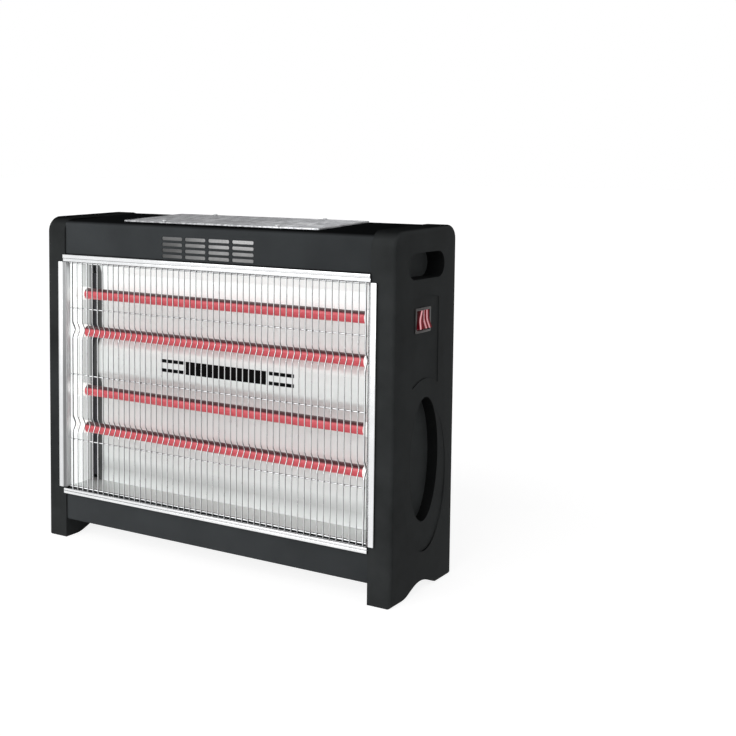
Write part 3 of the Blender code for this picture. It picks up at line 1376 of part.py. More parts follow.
def supply_leads():
    """The leads on the right, from the tubes to the switch and to the terminal block."""
    out = LEAD_START + LEAD_STRAIGHT
    small = LEAD_STRAIGHT / 10
    bend = 2 * LEAD_RUN_GAP
    in_front = TUBE_Y - CAP_NECK_RADIUS - 2.2 * LEAD_RADIUS
    behind = TUBE_Y + CAP_NECK_RADIUS + 5.6 * LEAD_RADIUS
    first, second, third, fourth = TUBE_HEIGHTS
    places = switch_terminal_places()
    y, z = places[0]
    lead("supply_lead_1", [
        (LEAD_START, TUBE_Y, first),
        (out, TUBE_Y + 2 * small, first + 2 * small),
        (out - 0.6 * bend, TUBE_Y + 1.2 * bend, first + 0.6 * bend),
        (LEAD_RUN_X, y - 1.2 * bend, z),
        *into_switch(places[0]),
    ])
    lead("supply_lead_2", [
        (LEAD_START, TUBE_Y, second),
        (out, TUBE_Y, second - small),
        (LEAD_RUN_X + bend, in_front + 0.2 * bend, second - 1.2 * bend),
        (LEAD_RUN_X, in_front, third + 2 * bend),
        (LEAD_RUN_X, in_front, fourth - 2 * bend),
        (LEAD_RUN_X, TUBE_Y + bend, GROMMET_Z + 0.4 * bend),
        (LEAD_RUN_X, TUBE_Y + 6 * bend, GROMMET_Z - 0.6 * bend),
        (LEAD_RUN_X, GROMMET_Y - 1.4 * bend, GROMMET_Z - 0.3 * bend),
        *through_grommet(math.radians(-120)),
        *into_block(1, 0.8 * bend),
    ])
    y, z = places[1]
    lead("supply_lead_3", [
        (LEAD_START, TUBE_Y, third),
        (out, TUBE_Y + small, third + small),
        (LEAD_RUN_X + 0.8 * bend, TUBE_Y + bend, third + bend),
        (LEAD_RUN_X, behind, third + 3 * bend),
        (LEAD_RUN_X, behind, z - 4 * bend),
        (LEAD_RUN_X, y - 0.8 * bend, z - 0.8 * bend),
        *into_switch(places[1]),
    ])
    lead("supply_lead_4", [
        (LEAD_START, TUBE_Y, fourth),
        (out, TUBE_Y, fourth - small),
        (LEAD_RUN_X + 0.8 * bend, TUBE_Y + bend, fourth - bend),
        (LEAD_RUN_X, behind, fourth - 3 * bend),
        (LEAD_RUN_X, behind + bend, GROMMET_Z + 2.4 * bend),
        (LEAD_RUN_X, TUBE_Y + 6 * bend, GROMMET_Z + bend),
        (LEAD_RUN_X, GROMMET_Y - 1.4 * bend, GROMMET_Z + bend / 2),
        *through_grommet(math.radians(120)),
        *into_block(0, 1.4 * bend),
    ])
    y, z = places[2]
    lead("feed_lead", [
        *reversed(into_switch(places[2])),
        (LEAD_RUN_X, y + 0.8 * bend, z - 0.8 * bend),
        (LEAD_RUN_X, GROMMET_Y, z - 6 * bend),
        (LEAD_RUN_X, GROMMET_Y + 0.4 * bend, GROMMET_Z + 3 * bend),
        (LEAD_RUN_X, GROMMET_Y + 0.4 * bend, GROMMET_Z + 1.2 * bend),
        *through_grommet(0.0),
        *into_block(-1, 2.2 * bend),
    ])


def main():
    clear_scene()
    new_collection(PARTS_NAME)
    new_collection(CUTTERS_NAME)
    side_panels()
    upper_casing()
    base_pan()
    back_panel()
    end_plates()
    cheeks()
    cavity_floor()
    reflector()
    reflector_brackets()
    heat_shield()
    badge()
    quartz_tubes()
    end_caps()
    heating_coils()
    guard()
    trim_strips()
    mesh_plate()
    fasteners()
    switch_housing()
    switch_axle()
    rockers()
    fittings()
    grommet()
    cord_gland()
    jumper_leads()
    supply_leads()


main()
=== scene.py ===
"""Free-standing quartz heater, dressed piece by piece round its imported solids."""

import math

import bmesh
import bpy
from mathutils import Matrix, Vector


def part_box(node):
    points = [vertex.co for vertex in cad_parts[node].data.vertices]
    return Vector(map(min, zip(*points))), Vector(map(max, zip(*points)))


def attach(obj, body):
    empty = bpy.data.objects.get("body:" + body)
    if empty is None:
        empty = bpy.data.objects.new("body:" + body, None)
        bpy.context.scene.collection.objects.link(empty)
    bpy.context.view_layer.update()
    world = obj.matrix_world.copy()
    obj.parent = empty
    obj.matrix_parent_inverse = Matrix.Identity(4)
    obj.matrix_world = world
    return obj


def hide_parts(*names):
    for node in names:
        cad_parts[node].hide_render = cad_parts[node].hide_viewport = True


bl_info = {
    "name": "Quartz heater",
    "version": (1, 0, 0),
    "blender": (4, 5, 0),
    "location": "View3D > Sidebar > Quartz heater",
    "description": "Builds the panels, casing, guard, reflector, tubes, mesh and switch of a quartz heater",
    "category": "Object",
}

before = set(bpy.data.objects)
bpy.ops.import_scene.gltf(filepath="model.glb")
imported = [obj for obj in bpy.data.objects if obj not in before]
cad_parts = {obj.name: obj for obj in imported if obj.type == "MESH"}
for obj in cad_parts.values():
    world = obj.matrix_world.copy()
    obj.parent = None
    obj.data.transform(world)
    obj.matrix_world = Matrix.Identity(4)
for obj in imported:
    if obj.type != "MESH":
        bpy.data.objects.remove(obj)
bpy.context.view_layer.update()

MM = 0.001
WALL = 3 * MM
SHEET = 1.2 * MM
BRIGHT_SHEET = 0.8 * MM
# How far cutters reach past a face, and where nothing is near them
CUT_MARGIN = 10 * MM
FAR = 60 * MM
# A difference that doesn't show
HAIR = 0.01 * MM
SIDES = ((1, "right"), (-1, "left"))


def span(node, axis):
    """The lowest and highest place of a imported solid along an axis, 0 to 2."""
    low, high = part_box(node)
    return low[axis], high[axis]


def middle(node, axis):
    """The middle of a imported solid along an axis, 0 to 2."""
    return sum(span(node, axis)) / 2


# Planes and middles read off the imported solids, or measured from them
PANEL_INNER, PANEL_OUTER = span("side_panel_right", 0)
PANEL_FRONT, PANEL_REAR = span("side_panel_right", 1)
HEIGHT = span("side_panel_right", 2)[1]
CASING_X = span("upper_casing", 0)[1]
CASING_FRONT, CASING_REAR = span("upper_casing", 1)
OPENING_TOP, CASING_TOP_REAR = span("upper_casing", 2)
CASING_TOP_FRONT = CASING_TOP_REAR - 7.1 * MM
CASING_STEP = OPENING_TOP + 10.5 * MM
PAN_BOTTOM, OPENING_BOTTOM = span("base_pan", 2)
PAN_REAR = span("base_pan", 1)[1]
PAN_STEP = OPENING_BOTTOM - 9 * MM
LIP_FACE = CASING_FRONT + 5.5 * MM
REFLECTOR_X = span("reflector", 0)[1]
REFLECTOR_Y = LIP_FACE + 47 * MM
HUMP_Y = REFLECTOR_Y - 9 * MM
BADGE_X = span("badge_bar", 0)[1]
BADGE_LOW, BADGE_HIGH = span("badge_bar", 2)
HUMP_Z = (BADGE_LOW + BADGE_HIGH) / 2 - 2 * MM
CHEEK_INNER = span("cheek_right", 0)[0]
TUBE_Y = middle("quartz_tube_1", 1)
TUBE_LEVELS = [middle(f"quartz_tube_{index}", 2) for index in (1, 2, 3, 4)]
TUBE_X = span("quartz_tube_1", 0)[1]
CAP_FACE, CAP_END = span("end_cap_1_right", 0)
SWITCH_Y = middle("switch_housing", 1)
SWITCH_Z = middle("switch_housing", 2)
GUARD_LOW, GUARD_HIGH = span("guard", 2)
RIM = 1.2 * MM
MESH_X = span("mesh_plate", 0)[1]
MESH_FRONT = CASING_FRONT + 21.5 * MM
MESH_REAR = CASING_REAR - 10 * MM
TOP_SLOPE = (CASING_TOP_REAR - CASING_TOP_FRONT) / (CASING_REAR - CASING_FRONT)
GLAND_X = middle("cord_gland", 0)
GLAND_Z = middle("cord_gland", 2)


# Steps shared by the pieces

def deselect_all():
    """Leaves nothing selected, so that an operator acts on the new piece alone."""
    bpy.ops.object.select_all(action="DESELECT")


def hold(item):
    """Makes one object the selected and active one."""
    deselect_all()
    item.select_set(True)
    bpy.context.view_layer.objects.active = item


def new_piece(name):
    """Names the object that an operator has just added."""
    item = bpy.context.active_object
    item.name = name
    item.data.name = name
    return item


def settle(item):
    """Puts the place, turn and scale of an object into its mesh."""
    hold(item)
    bpy.ops.object.transform_apply(location=True, rotation=True, scale=True)
    return item


def edit(item, kind="VERT", everything=False):
    """Enters edit mode with nothing or everything selected; kind is VERT, EDGE or FACE."""
    hold(item)
    bpy.ops.object.mode_set(mode="EDIT")
    bpy.ops.mesh.select_mode(type=kind)
    bpy.ops.mesh.select_all(action="SELECT" if everything else "DESELECT")


def done():
    bpy.ops.object.mode_set(mode="OBJECT")


def pick(item, kind, test):
    """Selects points and edges by the places of their ends, or faces by middle and normal."""
    shape = bmesh.from_edit_mesh(item.data)
    count = 0
    parts = {"VERT": shape.verts, "EDGE": shape.edges, "FACE": shape.faces}[kind]
    for part in parts:
        if kind == "VERT":
            chosen = test(part.co)
        elif kind == "EDGE":
            chosen = all(test(vert.co) for vert in part.verts)
        else:
            chosen = test(part.calc_center_median(), part.normal)
        part.select_set(chosen)
        count += chosen
    bmesh.update_edit_mesh(item.data)
    if not count:
        raise RuntimeError(f"nothing to select on {item.name}")


def block(name, low, high):
    """A box between two corners, as the start of a piece or a cutter."""
    deselect_all()
    low = Vector(low)
    high = Vector(high)
    bpy.ops.mesh.primitive_cube_add(size=1.0, location=(low + high) / 2, scale=high - low)
    return settle(new_piece(name))


def drum(name, start, end, radius):
    """A cylinder between two points."""
    deselect_all()
    start = Vector(start)
    end = Vector(end)
    turn = (end - start).to_track_quat("Z", "Y").to_euler()
    bpy.ops.mesh.primitive_cylinder_add(
        vertices=48, radius=radius, depth=(end - start).length,
        location=(start + end) / 2, rotation=turn,
    )
    return settle(new_piece(name))


def round_edges(item, test, radius, segments):
    """Rounds the edges whose two points pass a test."""
    edit(item, "EDGE")
    pick(item, "EDGE", test)
    bpy.ops.mesh.bevel(offset=radius, segments=segments, affect="EDGES", clamp_overlap=True)
    done()
    return item


def use(item, kind, **settings):
    """Adds a modifier with its settings and applies it."""
    hold(item)
    step = item.modifiers.new(kind.lower(), kind)
    for key, value in settings.items():
        setattr(step, key, value)
    bpy.ops.object.modifier_apply(modifier=step.name)
    return item


def cut(item, cutter):
    """Cuts a piece with another, and removes the other."""
    use(item, "BOOLEAN", operation="DIFFERENCE", solver="EXACT", object=cutter)
    bpy.data.objects.remove(cutter, do_unlink=True)
    return item


def smooth(item, angle):
    """Shades a piece smooth, but for the edges that turn by more than an angle in degrees."""
    hold(item)
    bpy.ops.object.shade_smooth_by_angle(angle=math.radians(angle))
    return item


def face_outwards(item):
    """Merges doubled points and turns all faces outwards."""
    edit(item, everything=True)
    bpy.ops.mesh.remove_doubles(threshold=0.005 * MM)
    bpy.ops.mesh.normals_make_consistent(inside=False)
    done()
    return item


def mirror_of(item, name):
    """The mirror image of a right-hand piece, for the left, with a mesh of its own."""
    hold(item)
    bpy.ops.object.duplicate(linked=False)
    made = new_piece(name)
    made.scale = (-1.0, 1.0, 1.0)
    settle(made)
    return face_outwards(made)


def joined(name, items):
    """Several objects made one."""
    hold(items[0])
    for item in items:
        item.select_set(True)
    bpy.ops.object.join()
    return new_piece(name)


def repeated(item, count, shift):
    """A row of copies of a mesh, each moved by the same shift."""
    return use(
        item, "ARRAY", count=count, use_relative_offset=False, use_constant_offset=True,
        constant_offset_displace=shift,
    )


def node_copy(node, name, edge, angle=30, segments=2):
    """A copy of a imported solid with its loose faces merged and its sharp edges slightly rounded."""
    made = bpy.data.objects.new(name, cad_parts[node].data.copy())
    bpy.context.scene.collection.objects.link(made)
    made.data.materials.clear()
    edit(made, everything=True)
    bpy.ops.mesh.remove_doubles(threshold=HAIR)
    bpy.ops.mesh.dissolve_limited(angle_limit=math.radians(0.5))
    done()
    use(
        made, "BEVEL", width=edge, segments=segments, limit_method="ANGLE",
        angle_limit=math.radians(angle),
    )
    return smooth(made, angle)


def rounded(corners, steps=8):
    """The points of a path through (u, v, radius) corners, with an arc at each corner."""
    path = [Vector(corners[0][:2])]
    for before, here, after in zip(corners, corners[1:], corners[2:]):
        corner = Vector(here[:2])
        radius = here[2]
        towards = (Vector(before[:2]) - corner).normalized()
        onwards = (Vector(after[:2]) - corner).normalized()
        half = towards.angle(onwards) / 2
        if radius == 0.0:
            path.append(corner)
            continue
        centre = corner + (towards + onwards).normalized() * (radius / math.sin(half))
        start = corner + towards * (radius / math.tan(half)) - centre
        finish = corner + onwards * (radius / math.tan(half)) - centre
        sweep = start.angle_signed(finish)
        for step in range(steps + 1):
            path.append(centre + Matrix.Rotation(-sweep * step / steps, 2) @ start)
    path.append(Vector(corners[-1][:2]))
    return path


def loop(corners, steps=8):
    """The points of a closed outline with rounded corners, starting halfway along its last side."""
    first = Vector(corners[0][:2])
    last = Vector(corners[-1][:2])
    start = (*((first + last) / 2), 0.0)
    return rounded([start, *corners, start], steps)[:-1]


def oblong(low_u, high_u, low_v, high_v, radius, steps=8):
    """The points of a rectangle with rounded corners."""
    return loop((
        (low_u, low_v, radius), (high_u, low_v, radius),
        (high_u, high_v, radius), (low_u, high_v, radius),
    ), steps)


def place_of(point, axis, level):
    """A point of an outline across an axis, at a level along it."""
    u, v = point
    return Vector({"X": (level, u, v), "Y": (u, level, v), "Z": (u, v, level)}[axis])


def first_point(name, spot):
    """A new mesh of one point, left in edit mode with the point selected."""
    deselect_all()
    bpy.ops.mesh.primitive_plane_add(size=MM, location=spot)
    item = settle(new_piece(name))
    edit(item, everything=True)
    bpy.ops.mesh.merge(type="CENTER")
    return item


def draw_on(spots):
    """Draws a line from the selected point through the next ones."""
    for before, after in zip(spots, spots[1:]):
        bpy.ops.mesh.extrude_vertices_move(TRANSFORM_OT_translate={"value": after - before})


def close_line():
    """Merges the two ends of a drawn line, and leaves all of it selected."""
    bpy.ops.mesh.select_all(action="SELECT")
    bpy.ops.mesh.remove_doubles(threshold=HAIR / 10)
    bpy.ops.mesh.select_all(action="SELECT")


def sweep_on(spots):
    """Carries all of a drawn line through the next places, as a strip of faces."""
    bpy.ops.mesh.select_all(action="SELECT")
    bpy.ops.mesh.select_mode(type="EDGE")
    for before, after in zip(spots, spots[1:]):
        bpy.ops.mesh.extrude_region_move(TRANSFORM_OT_translate={"value": after - before})


def drawn(name, outline, axis, low, high):
    """A closed outline drawn point by point and given its depth along an axis."""
    spots = [place_of(point, axis, low) for point in outline]
    item = first_point(name, spots[0])
    draw_on([*spots, spots[0]])
    close_line()
    bpy.ops.mesh.edge_face_add()
    depth = place_of((0.0, 0.0), axis, high - low)
    bpy.ops.mesh.extrude_region_move(TRANSFORM_OT_translate={"value": depth})
    bpy.ops.mesh.select_all(action="SELECT")
    bpy.ops.mesh.normals_make_consistent(inside=False)
    done()
    return item


def folded_sheet(name, corners, half_length, thickness, steps=8):
    """A sheet run along X and folded through (y, z, radius) corners.

    Seen from the switch's side, the face that shows is on the right of the path.
    """
    path = rounded(corners, steps)
    spots = [place_of(point, "X", -half_length) for point in path]
    item = first_point(name, spots[0])
    bpy.ops.mesh.extrude_vertices_move(TRANSFORM_OT_translate={"value": (2 * half_length, 0, 0)})
    sweep_on(spots)
    done()
    run = spots[1] - spots[0]
    outward = Vector((0.0, run.z, -run.y))
    if item.data.polygons[0].normal.dot(outward) < 0:
        edit(item, "FACE", everything=True)
        bpy.ops.mesh.flip_normals()
        done()
    return use(item, "SOLIDIFY", thickness=thickness, offset=-1.0, use_even_offset=True)


def turned(name, profile, start, axis, steps):
    """A profile of (radius, distance) points spun round an axis from a starting place."""
    start = Vector(start)
    axis = Vector(axis).normalized()
    across = axis.orthogonal().normalized()
    spots = [start + across * radius + axis * reach for radius, reach in profile]
    item = first_point(name, spots[0])
    draw_on([*spots, spots[0]])
    close_line()
    bpy.ops.mesh.spin(steps=steps, angle=math.tau, center=start, axis=axis)
    done()
    return face_outwards(item)


def wire(name, spots, radius, resolution):
    """A round wire along the points of a line."""
    item = first_point(name, Vector(spots[0]))
    draw_on([Vector(spot) for spot in spots])
    done()
    hold(item)
    bpy.ops.object.convert(target="CURVE")
    line = new_piece(name)
    line.data.bevel_depth = radius
    line.data.bevel_resolution = resolution
    line.data.use_fill_caps = True
    hold(line)
    bpy.ops.object.convert(target="MESH")
    return face_outwards(new_piece(name))


def casing_top(y):
    """The height of the sloping top's outer face."""
    return CASING_TOP_FRONT + TOP_SLOPE * (y - CASING_FRONT)


# Finishes

# Patches to the metre of the noise that moves a line about
WANDER_PATCHES = 160.0


def blank_finish(name):
    made = bpy.data.materials.new(name)
    made.use_nodes = True
    return made, made.node_tree, made.node_tree.nodes["Principled BSDF"]


def object_place(tree):
    """The place of each point of the surface."""
    return tree.nodes.new("ShaderNodeTexCoord").outputs["Object"]


def part_of(tree, vector, axis):
    """One part of a vector, X, Y or Z."""
    node = tree.nodes.new("ShaderNodeSeparateXYZ")
    tree.links.new(vector, node.inputs["Vector"])
    return node.outputs[axis]


def added(tree, value, weight, base):
    """A value times a weight, added to another value."""
    node = tree.nodes.new("ShaderNodeMath")
    node.operation = "MULTIPLY_ADD"
    node.inputs[1].default_value = weight
    tree.links.new(value, node.inputs[0])
    tree.links.new(base, node.inputs[2])
    return node.outputs["Value"]


def grain(tree, scale, stretch=(1.0, 1.0, 1.0), detail=3.0):
    """A noise pattern on the object's own coordinates; scale is in patches to the metre."""
    mapping = tree.nodes.new("ShaderNodeMapping")
    mapping.inputs["Scale"].default_value = stretch
    noise = tree.nodes.new("ShaderNodeTexNoise")
    noise.inputs["Scale"].default_value = scale
    noise.inputs["Detail"].default_value = detail
    tree.links.new(object_place(tree), mapping.inputs["Vector"])
    tree.links.new(mapping.outputs["Vector"], noise.inputs["Vector"])
    return noise.outputs[0]


def ramp(tree, value, stops):
    """Colours along a value, as (position, colour) stops."""
    node = tree.nodes.new("ShaderNodeValToRGB")
    while len(node.color_ramp.elements) < len(stops):
        node.color_ramp.elements.new(0.5)
    for element, (position, colour) in zip(node.color_ramp.elements, stops):
        element.position = position
        element.color = (*colour[:3], 1.0)
    tree.links.new(value, node.inputs["Fac"])
    return node.outputs["Color"]


def mottled(tree, pattern, dark, light):
    """Colours between two tones, over a noise."""
    return ramp(tree, pattern, ((0.3, dark), (0.7, light)))


def ranged(tree, value, low, high, start=0.3, end=0.7):
    """A value carried from one range to another; most of a noise lies between 0.3 and 0.7."""
    node = tree.nodes.new("ShaderNodeMapRange")
    node.inputs["From Min"].default_value = start
    node.inputs["From Max"].default_value = end
    node.inputs["To Min"].default_value = low
    node.inputs["To Max"].default_value = high
    tree.links.new(value, node.inputs["Value"])
    return node.outputs["Result"]


def patchy(tree, scale, low, high):
    """A value that varies between two limits in soft patches."""
    return ranged(tree, grain(tree, scale), low, high)


def facing(tree, axis, low, high, start, end):
    """A value that changes with how far the surface faces along an axis."""
    geometry = tree.nodes.new("ShaderNodeNewGeometry")
    return ranged(tree, part_of(tree, geometry.outputs["Normal"], axis), low, high, start, end)


def light_along(tree, axis, start, end, stops, wander=0.0):
    """A share of painted light between two places along an axis, as (position, share) stops.

    A noise may move the places about, by up to wander.
    """
    reach = part_of(tree, object_place(tree), axis)
    if wander:
        reach = added(tree, grain(tree, WANDER_PATCHES), wander, reach)
    greys = [(position, (light, light, light)) for position, light in stops]
    return ramp(tree, ranged(tree, reach, 0.0, 1.0, start, end), greys)


def scaled(tree, tones, *amounts):
    """Colours darkened by amounts that vary over the surface."""
    for amount in amounts:
        node = tree.nodes.new("ShaderNodeVectorMath")
        node.operation = "SCALE"
        tree.links.new(tones, node.inputs[0])
        tree.links.new(amount, node.inputs["Scale"])
        tones = node.outputs["Vector"]
    return tones


def lay_on(tree, shader, tones, rough, fine, height, metal=0.0, glow=0.0, lit=None):
    """Wires a finish: its tones, roughness and fine relief, and the light that it gives off."""
    tree.links.new(tones, shader.inputs["Base Color"])
    tree.links.new(rough, shader.inputs["Roughness"])
    shader.inputs["Metallic"].default_value = metal
    if glow:
        tree.links.new(tones if lit is None else lit, shader.inputs["Emission Color"])
        shader.inputs["Emission Strength"].default_value = glow
    bump = tree.nodes.new("ShaderNodeBump")
    bump.inputs["Distance"].default_value = height
    tree.links.new(fine, bump.inputs["Height"])
    tree.links.new(bump.outputs["Normal"], shader.inputs["Normal"])


def plain_finish(name, dark, light, rough, metal=0.0, patches=25.0, stretch=(1.0, 1.0, 1.0),
                 fine=1500.0, height=0.02 * MM, sheen=0.5, painted_shade=(), across=(), glow=0.0):
    """A finish whose colour and roughness vary in soft patches, over a fine relief.

    painted_shade holds an axis, the share of light kept, and the parts of the surface's normal
    along that axis where the painted shade begins and where only that share is left. A surface
    with painted shade as it faces up loses its sheen too, a painted darkening of its reflection.
    across holds the shares of painted light at the left and the right end of the casing, a
    painted falloff. glow is the strength of painted light that the finish gives off itself.
    """
    made, tree, shader = blank_finish(name)
    soft = grain(tree, patches, stretch)
    tones = mottled(tree, soft, dark, light)
    shader.inputs["Specular IOR Level"].default_value = sheen
    # Painted shade: faces turned along the axis are darkened, and upper faces lose their sheen
    if painted_shade:
        axis, kept, start, end = painted_shade
        tones = scaled(tree, tones, facing(tree, axis, 1.0, kept, start, end))
        if axis == "Z":
            tree.links.new(facing(tree, axis, sheen, 0.0, start, end), shader.inputs["Specular IOR Level"])
    # Painted light that falls off from the left end of the casing to the right
    if across:
        reach = part_of(tree, object_place(tree), "X")
        tones = scaled(tree, tones, ranged(tree, reach, *across, -CASING_X, CASING_X))
    bumps = grain(tree, fine, stretch, 2.0)
    lay_on(tree, shader, tones, ranged(tree, soft, *rough), bumps, height, metal, glow)
    return made


def shade(colour, share):
    """A colour made darker or lighter by a share."""
    return tuple(min(1.0, part * share) for part in colour[:3])


def panel_plastic(name, dark, light, painted_shade=()):
    """Moulded black plastic with a fine spark-eroded texture, in shares of the panels' colour, with painted
    shade where it is asked for.
    """
    colour = bpy.context.scene.heater_panels.colour
    return plain_finish(
        name, shade(colour, dark), shade(colour, light), (0.5, 0.62),
        patches=18.0, fine=2600.0, height=0.03 * MM, sheen=0.02, painted_shade=painted_shade,
    )


def recess_plastic_in_painted_light(name, light):
    """The panels' plastic inside the handle and the oval, scaled by a share as painted light and shade."""
    return panel_plastic(name, 0.85 * light, 1.15 * light)


def charcoal_coat():
    """Charcoal powder coat with its faint orange-peel relief, painted shade on its upper faces, and painted
    light that falls off from the left end to the right.
    """
    colour = bpy.context.scene.heater_casing.colour
    return plain_finish(
        "charcoal_powder_coat", shade(colour, 0.9), shade(colour, 1.12), (0.6, 0.72),
        patches=14.0, fine=900.0, height=0.04 * MM, sheen=0.02, painted_shade=("Z", 0.15, 0.5, 0.9),
        across=(1.08, 0.76),
    )


def expanded_metal():
    """Grey plated metal of the mesh, with a painted highlight along the front edge and painted light that
    grows to the right.
    """
    light = bpy.context.scene.heater_mesh.colour
    made, tree, shader = blank_finish("expanded_metal")
    streaks = grain(tree, 260.0, (1.0, 0.14, 1.0), 2.0)
    flakes = ramp(tree, streaks, ((0.38, shade(light, 1.1)), (0.62, shade(light, 2.3))))
    # Painted highlight along the front edge; further back the metal keeps less than half its light
    rim_end = MESH_FRONT + RIM
    highlight_end = MESH_FRONT + 3 * MM
    edge = light_along(tree, "Y", rim_end, highlight_end, ((0.2, 1.0), (0.8, 0.45)), wander=RIM)
    # Painted light that grows from the left end to the right
    across = light_along(tree, "X", -MESH_X, MESH_X, ((0.0, 0.58), (0.55, 0.64), (0.85, 1.0)))
    lay_on(
        tree, shader, scaled(tree, flakes, edge, across), patchy(tree, 120.0, 0.4, 0.55),
        grain(tree, 1500.0), 0.01 * MM, metal=0.5,
    )
    return made


def satin_floor():
    """Aluminium of the cavity's floor: the reflector's colour, darker as painted shade."""
    light = shade(bpy.context.scene.heater_reflector.colour, 0.74)
    return plain_finish(
        "satin_aluminium", shade(light, 0.93), light, (0.4, 0.5), metal=0.6,
        patches=30.0, stretch=(1.0, 1.0, 0.12), fine=420.0, height=0.004 * MM,
    )


def satin_reflector():
    """Satin aluminium with a painted reflection grey just above the floor's crease, painted shade at the two
    ends, and painted light that it gives off, strongest near the top.
    """
    light = bpy.context.scene.heater_reflector.colour
    made, tree, shader = blank_finish("satin_reflector")
    streaks = mottled(tree, grain(tree, 26.0, (1.0, 1.0, 0.1)), shade(light, 0.86), shade(light, 0.91))
    crease_end = OPENING_BOTTOM + 60 * MM
    end_shade_start = REFLECTOR_X - 14 * MM
    painted_glow_start, painted_glow_end = 340 * MM, 405 * MM
    # Painted reflection: a grey band just above the floor's crease; painted shade at the two ends
    crease_reflection = ((0.0, 1.0), (0.22, 0.85), (0.4, 0.66), (0.7, 1.0))
    end_shade = ((0.0, 1.0), (0.3, 0.6), (0.45, 0.1), (1.0, 0.05))
    shares = [light_along(tree, "Z", OPENING_BOTTOM, crease_end, crease_reflection)]
    for side in (-1, 1):
        shares.append(light_along(tree, "X", side * end_shade_start, side * REFLECTOR_X, end_shade))
    tones = scaled(tree, streaks, *shares)
    # Painted light that the sheet gives off, faint below and full near the top
    rise = light_along(tree, "Z", painted_glow_start, painted_glow_end, ((0.0, 0.05), (1.0, 1.0)))
    lay_on(
        tree, shader, tones, patchy(tree, 40.0, 0.5, 0.6), grain(tree, 420.0), 0.003 * MM,
        metal=0.4, glow=0.6, lit=scaled(tree, tones, rise),
    )
    return made


def satin_cheek():
    """Satin aluminium with painted shade in upright bands towards the reflector, and painted light that it
    gives off.
    """
    light = bpy.context.scene.heater_reflector.colour
    made, tree, shader = blank_finish("satin_cheek")
    streaks = mottled(tree, grain(tree, 90.0, (1.0, 1.0, 0.05)), shade(light, 0.86), light)
    shade_bands = light_along(tree, "Y", LIP_FACE, REFLECTOR_Y, (
        (0.0, 1.0), (0.38, 1.0), (0.4, 0.4), (0.42, 1.0),
        (0.55, 0.85), (0.62, 0.6), (0.78, 0.7), (0.92, 0.3),
    ))
    lay_on(
        tree, shader, scaled(tree, streaks, shade_bands), patchy(tree, 40.0, 0.4, 0.5),
        grain(tree, 420.0), 0.003 * MM, metal=0.4, glow=0.85,
    )
    return made


def vent_shield():
    """Aluminium inside the vents, with painted light where it would catch the light under the mesh: brighter
    as it rises and from the left towards the middle, and giving off painted light of its own.
    """
    made, tree, shader = blank_finish("vent_shield_sheet")
    shield_top = HEIGHT - 20 * MM
    dim_end, bright_start = -130 * MM, -40 * MM
    rise = light_along(
        tree, "Z", OPENING_TOP, shield_top, ((0.1, 0.3), (0.45, 0.5), (0.8, 1.0)), wander=4 * MM,
    )
    across = light_along(tree, "X", dim_end, bright_start, ((0.0, 0.38), (1.0, 1.0)))
    lay_on(
        tree, shader, scaled(tree, rise, across, patchy(tree, 45.0, 0.8, 1.0)), patchy(tree, 60.0, 0.4, 0.5),
        grain(tree, 420.0), 0.003 * MM, metal=0.3, glow=0.5,
    )
    return made


def chrome():
    # Painted shade on the faces turned away from the front
    colour = bpy.context.scene.heater_guard.colour
    return plain_finish(
        "chromed_steel", shade(colour, 0.95), colour, (0.16, 0.26), metal=1.0,
        patches=60.0, fine=700.0, height=0.002 * MM, painted_shade=("Y", 0.4, -0.85, -0.4),
    )


def chrome_with_painted_band():
    """Chrome of the left strip, with painted shade in a band along its inner edge, and faint painted light
    that it gives off.
    """
    colour = bpy.context.scene.heater_guard.colour
    made, tree, shader = blank_finish("chrome_with_painted_band")
    patches = mottled(tree, grain(tree, 60.0), shade(colour, 0.95), colour)
    outer_edge, inner_edge = -275 * MM, -261.9 * MM
    shade_band = light_along(
        tree, "X", outer_edge, inner_edge,
        ((0.0, 0.7), (0.3, 0.85), (0.6, 0.75), (0.66, 0.2), (0.95, 0.24), (0.99, 0.8)),
    )
    lay_on(
        tree, shader, scaled(tree, patches, shade_band), patchy(tree, 90.0, 0.3, 0.4),
        grain(tree, 700.0), 0.002 * MM, metal=0.9, glow=0.1,
    )
    return made


def drawn_wire():
    """Drawn steel wire: a painted highlight along its core, painted shade on the darker flanks, and painted
    light that it gives off, brightest at the left end.
    """
    colour = bpy.context.scene.heater_guard.colour
    made, tree, shader = blank_finish("drawn_steel_wire")
    patches = mottled(tree, grain(tree, 90.0), shade(colour, 0.85), colour)
    tones = scaled(tree, patches, facing(tree, "Y", 1.0, 0.08, -0.93, -0.7))
    painted_glow_start, painted_glow_end = -215 * MM, -165 * MM
    painted_glow_left = light_along(tree, "X", painted_glow_start, painted_glow_end, ((0.0, 1.0), (1.0, 0.1)))
    lay_on(
        tree, shader, tones, patchy(tree, 60.0, 0.25, 0.36), grain(tree, 900.0), 0.002 * MM,
        metal=0.8, glow=0.3, lit=scaled(tree, tones, painted_glow_left),
    )
    return made


def zinc(name, light, rough=(0.28, 0.42)):
    """Zinc plating with its cloudy patches."""
    return plain_finish(name, shade(light, 0.78), light, rough, metal=1.0, patches=90.0, height=0.006 * MM)


def screw_zinc(name):
    return zinc(name, (0.62, 0.63, 0.64))


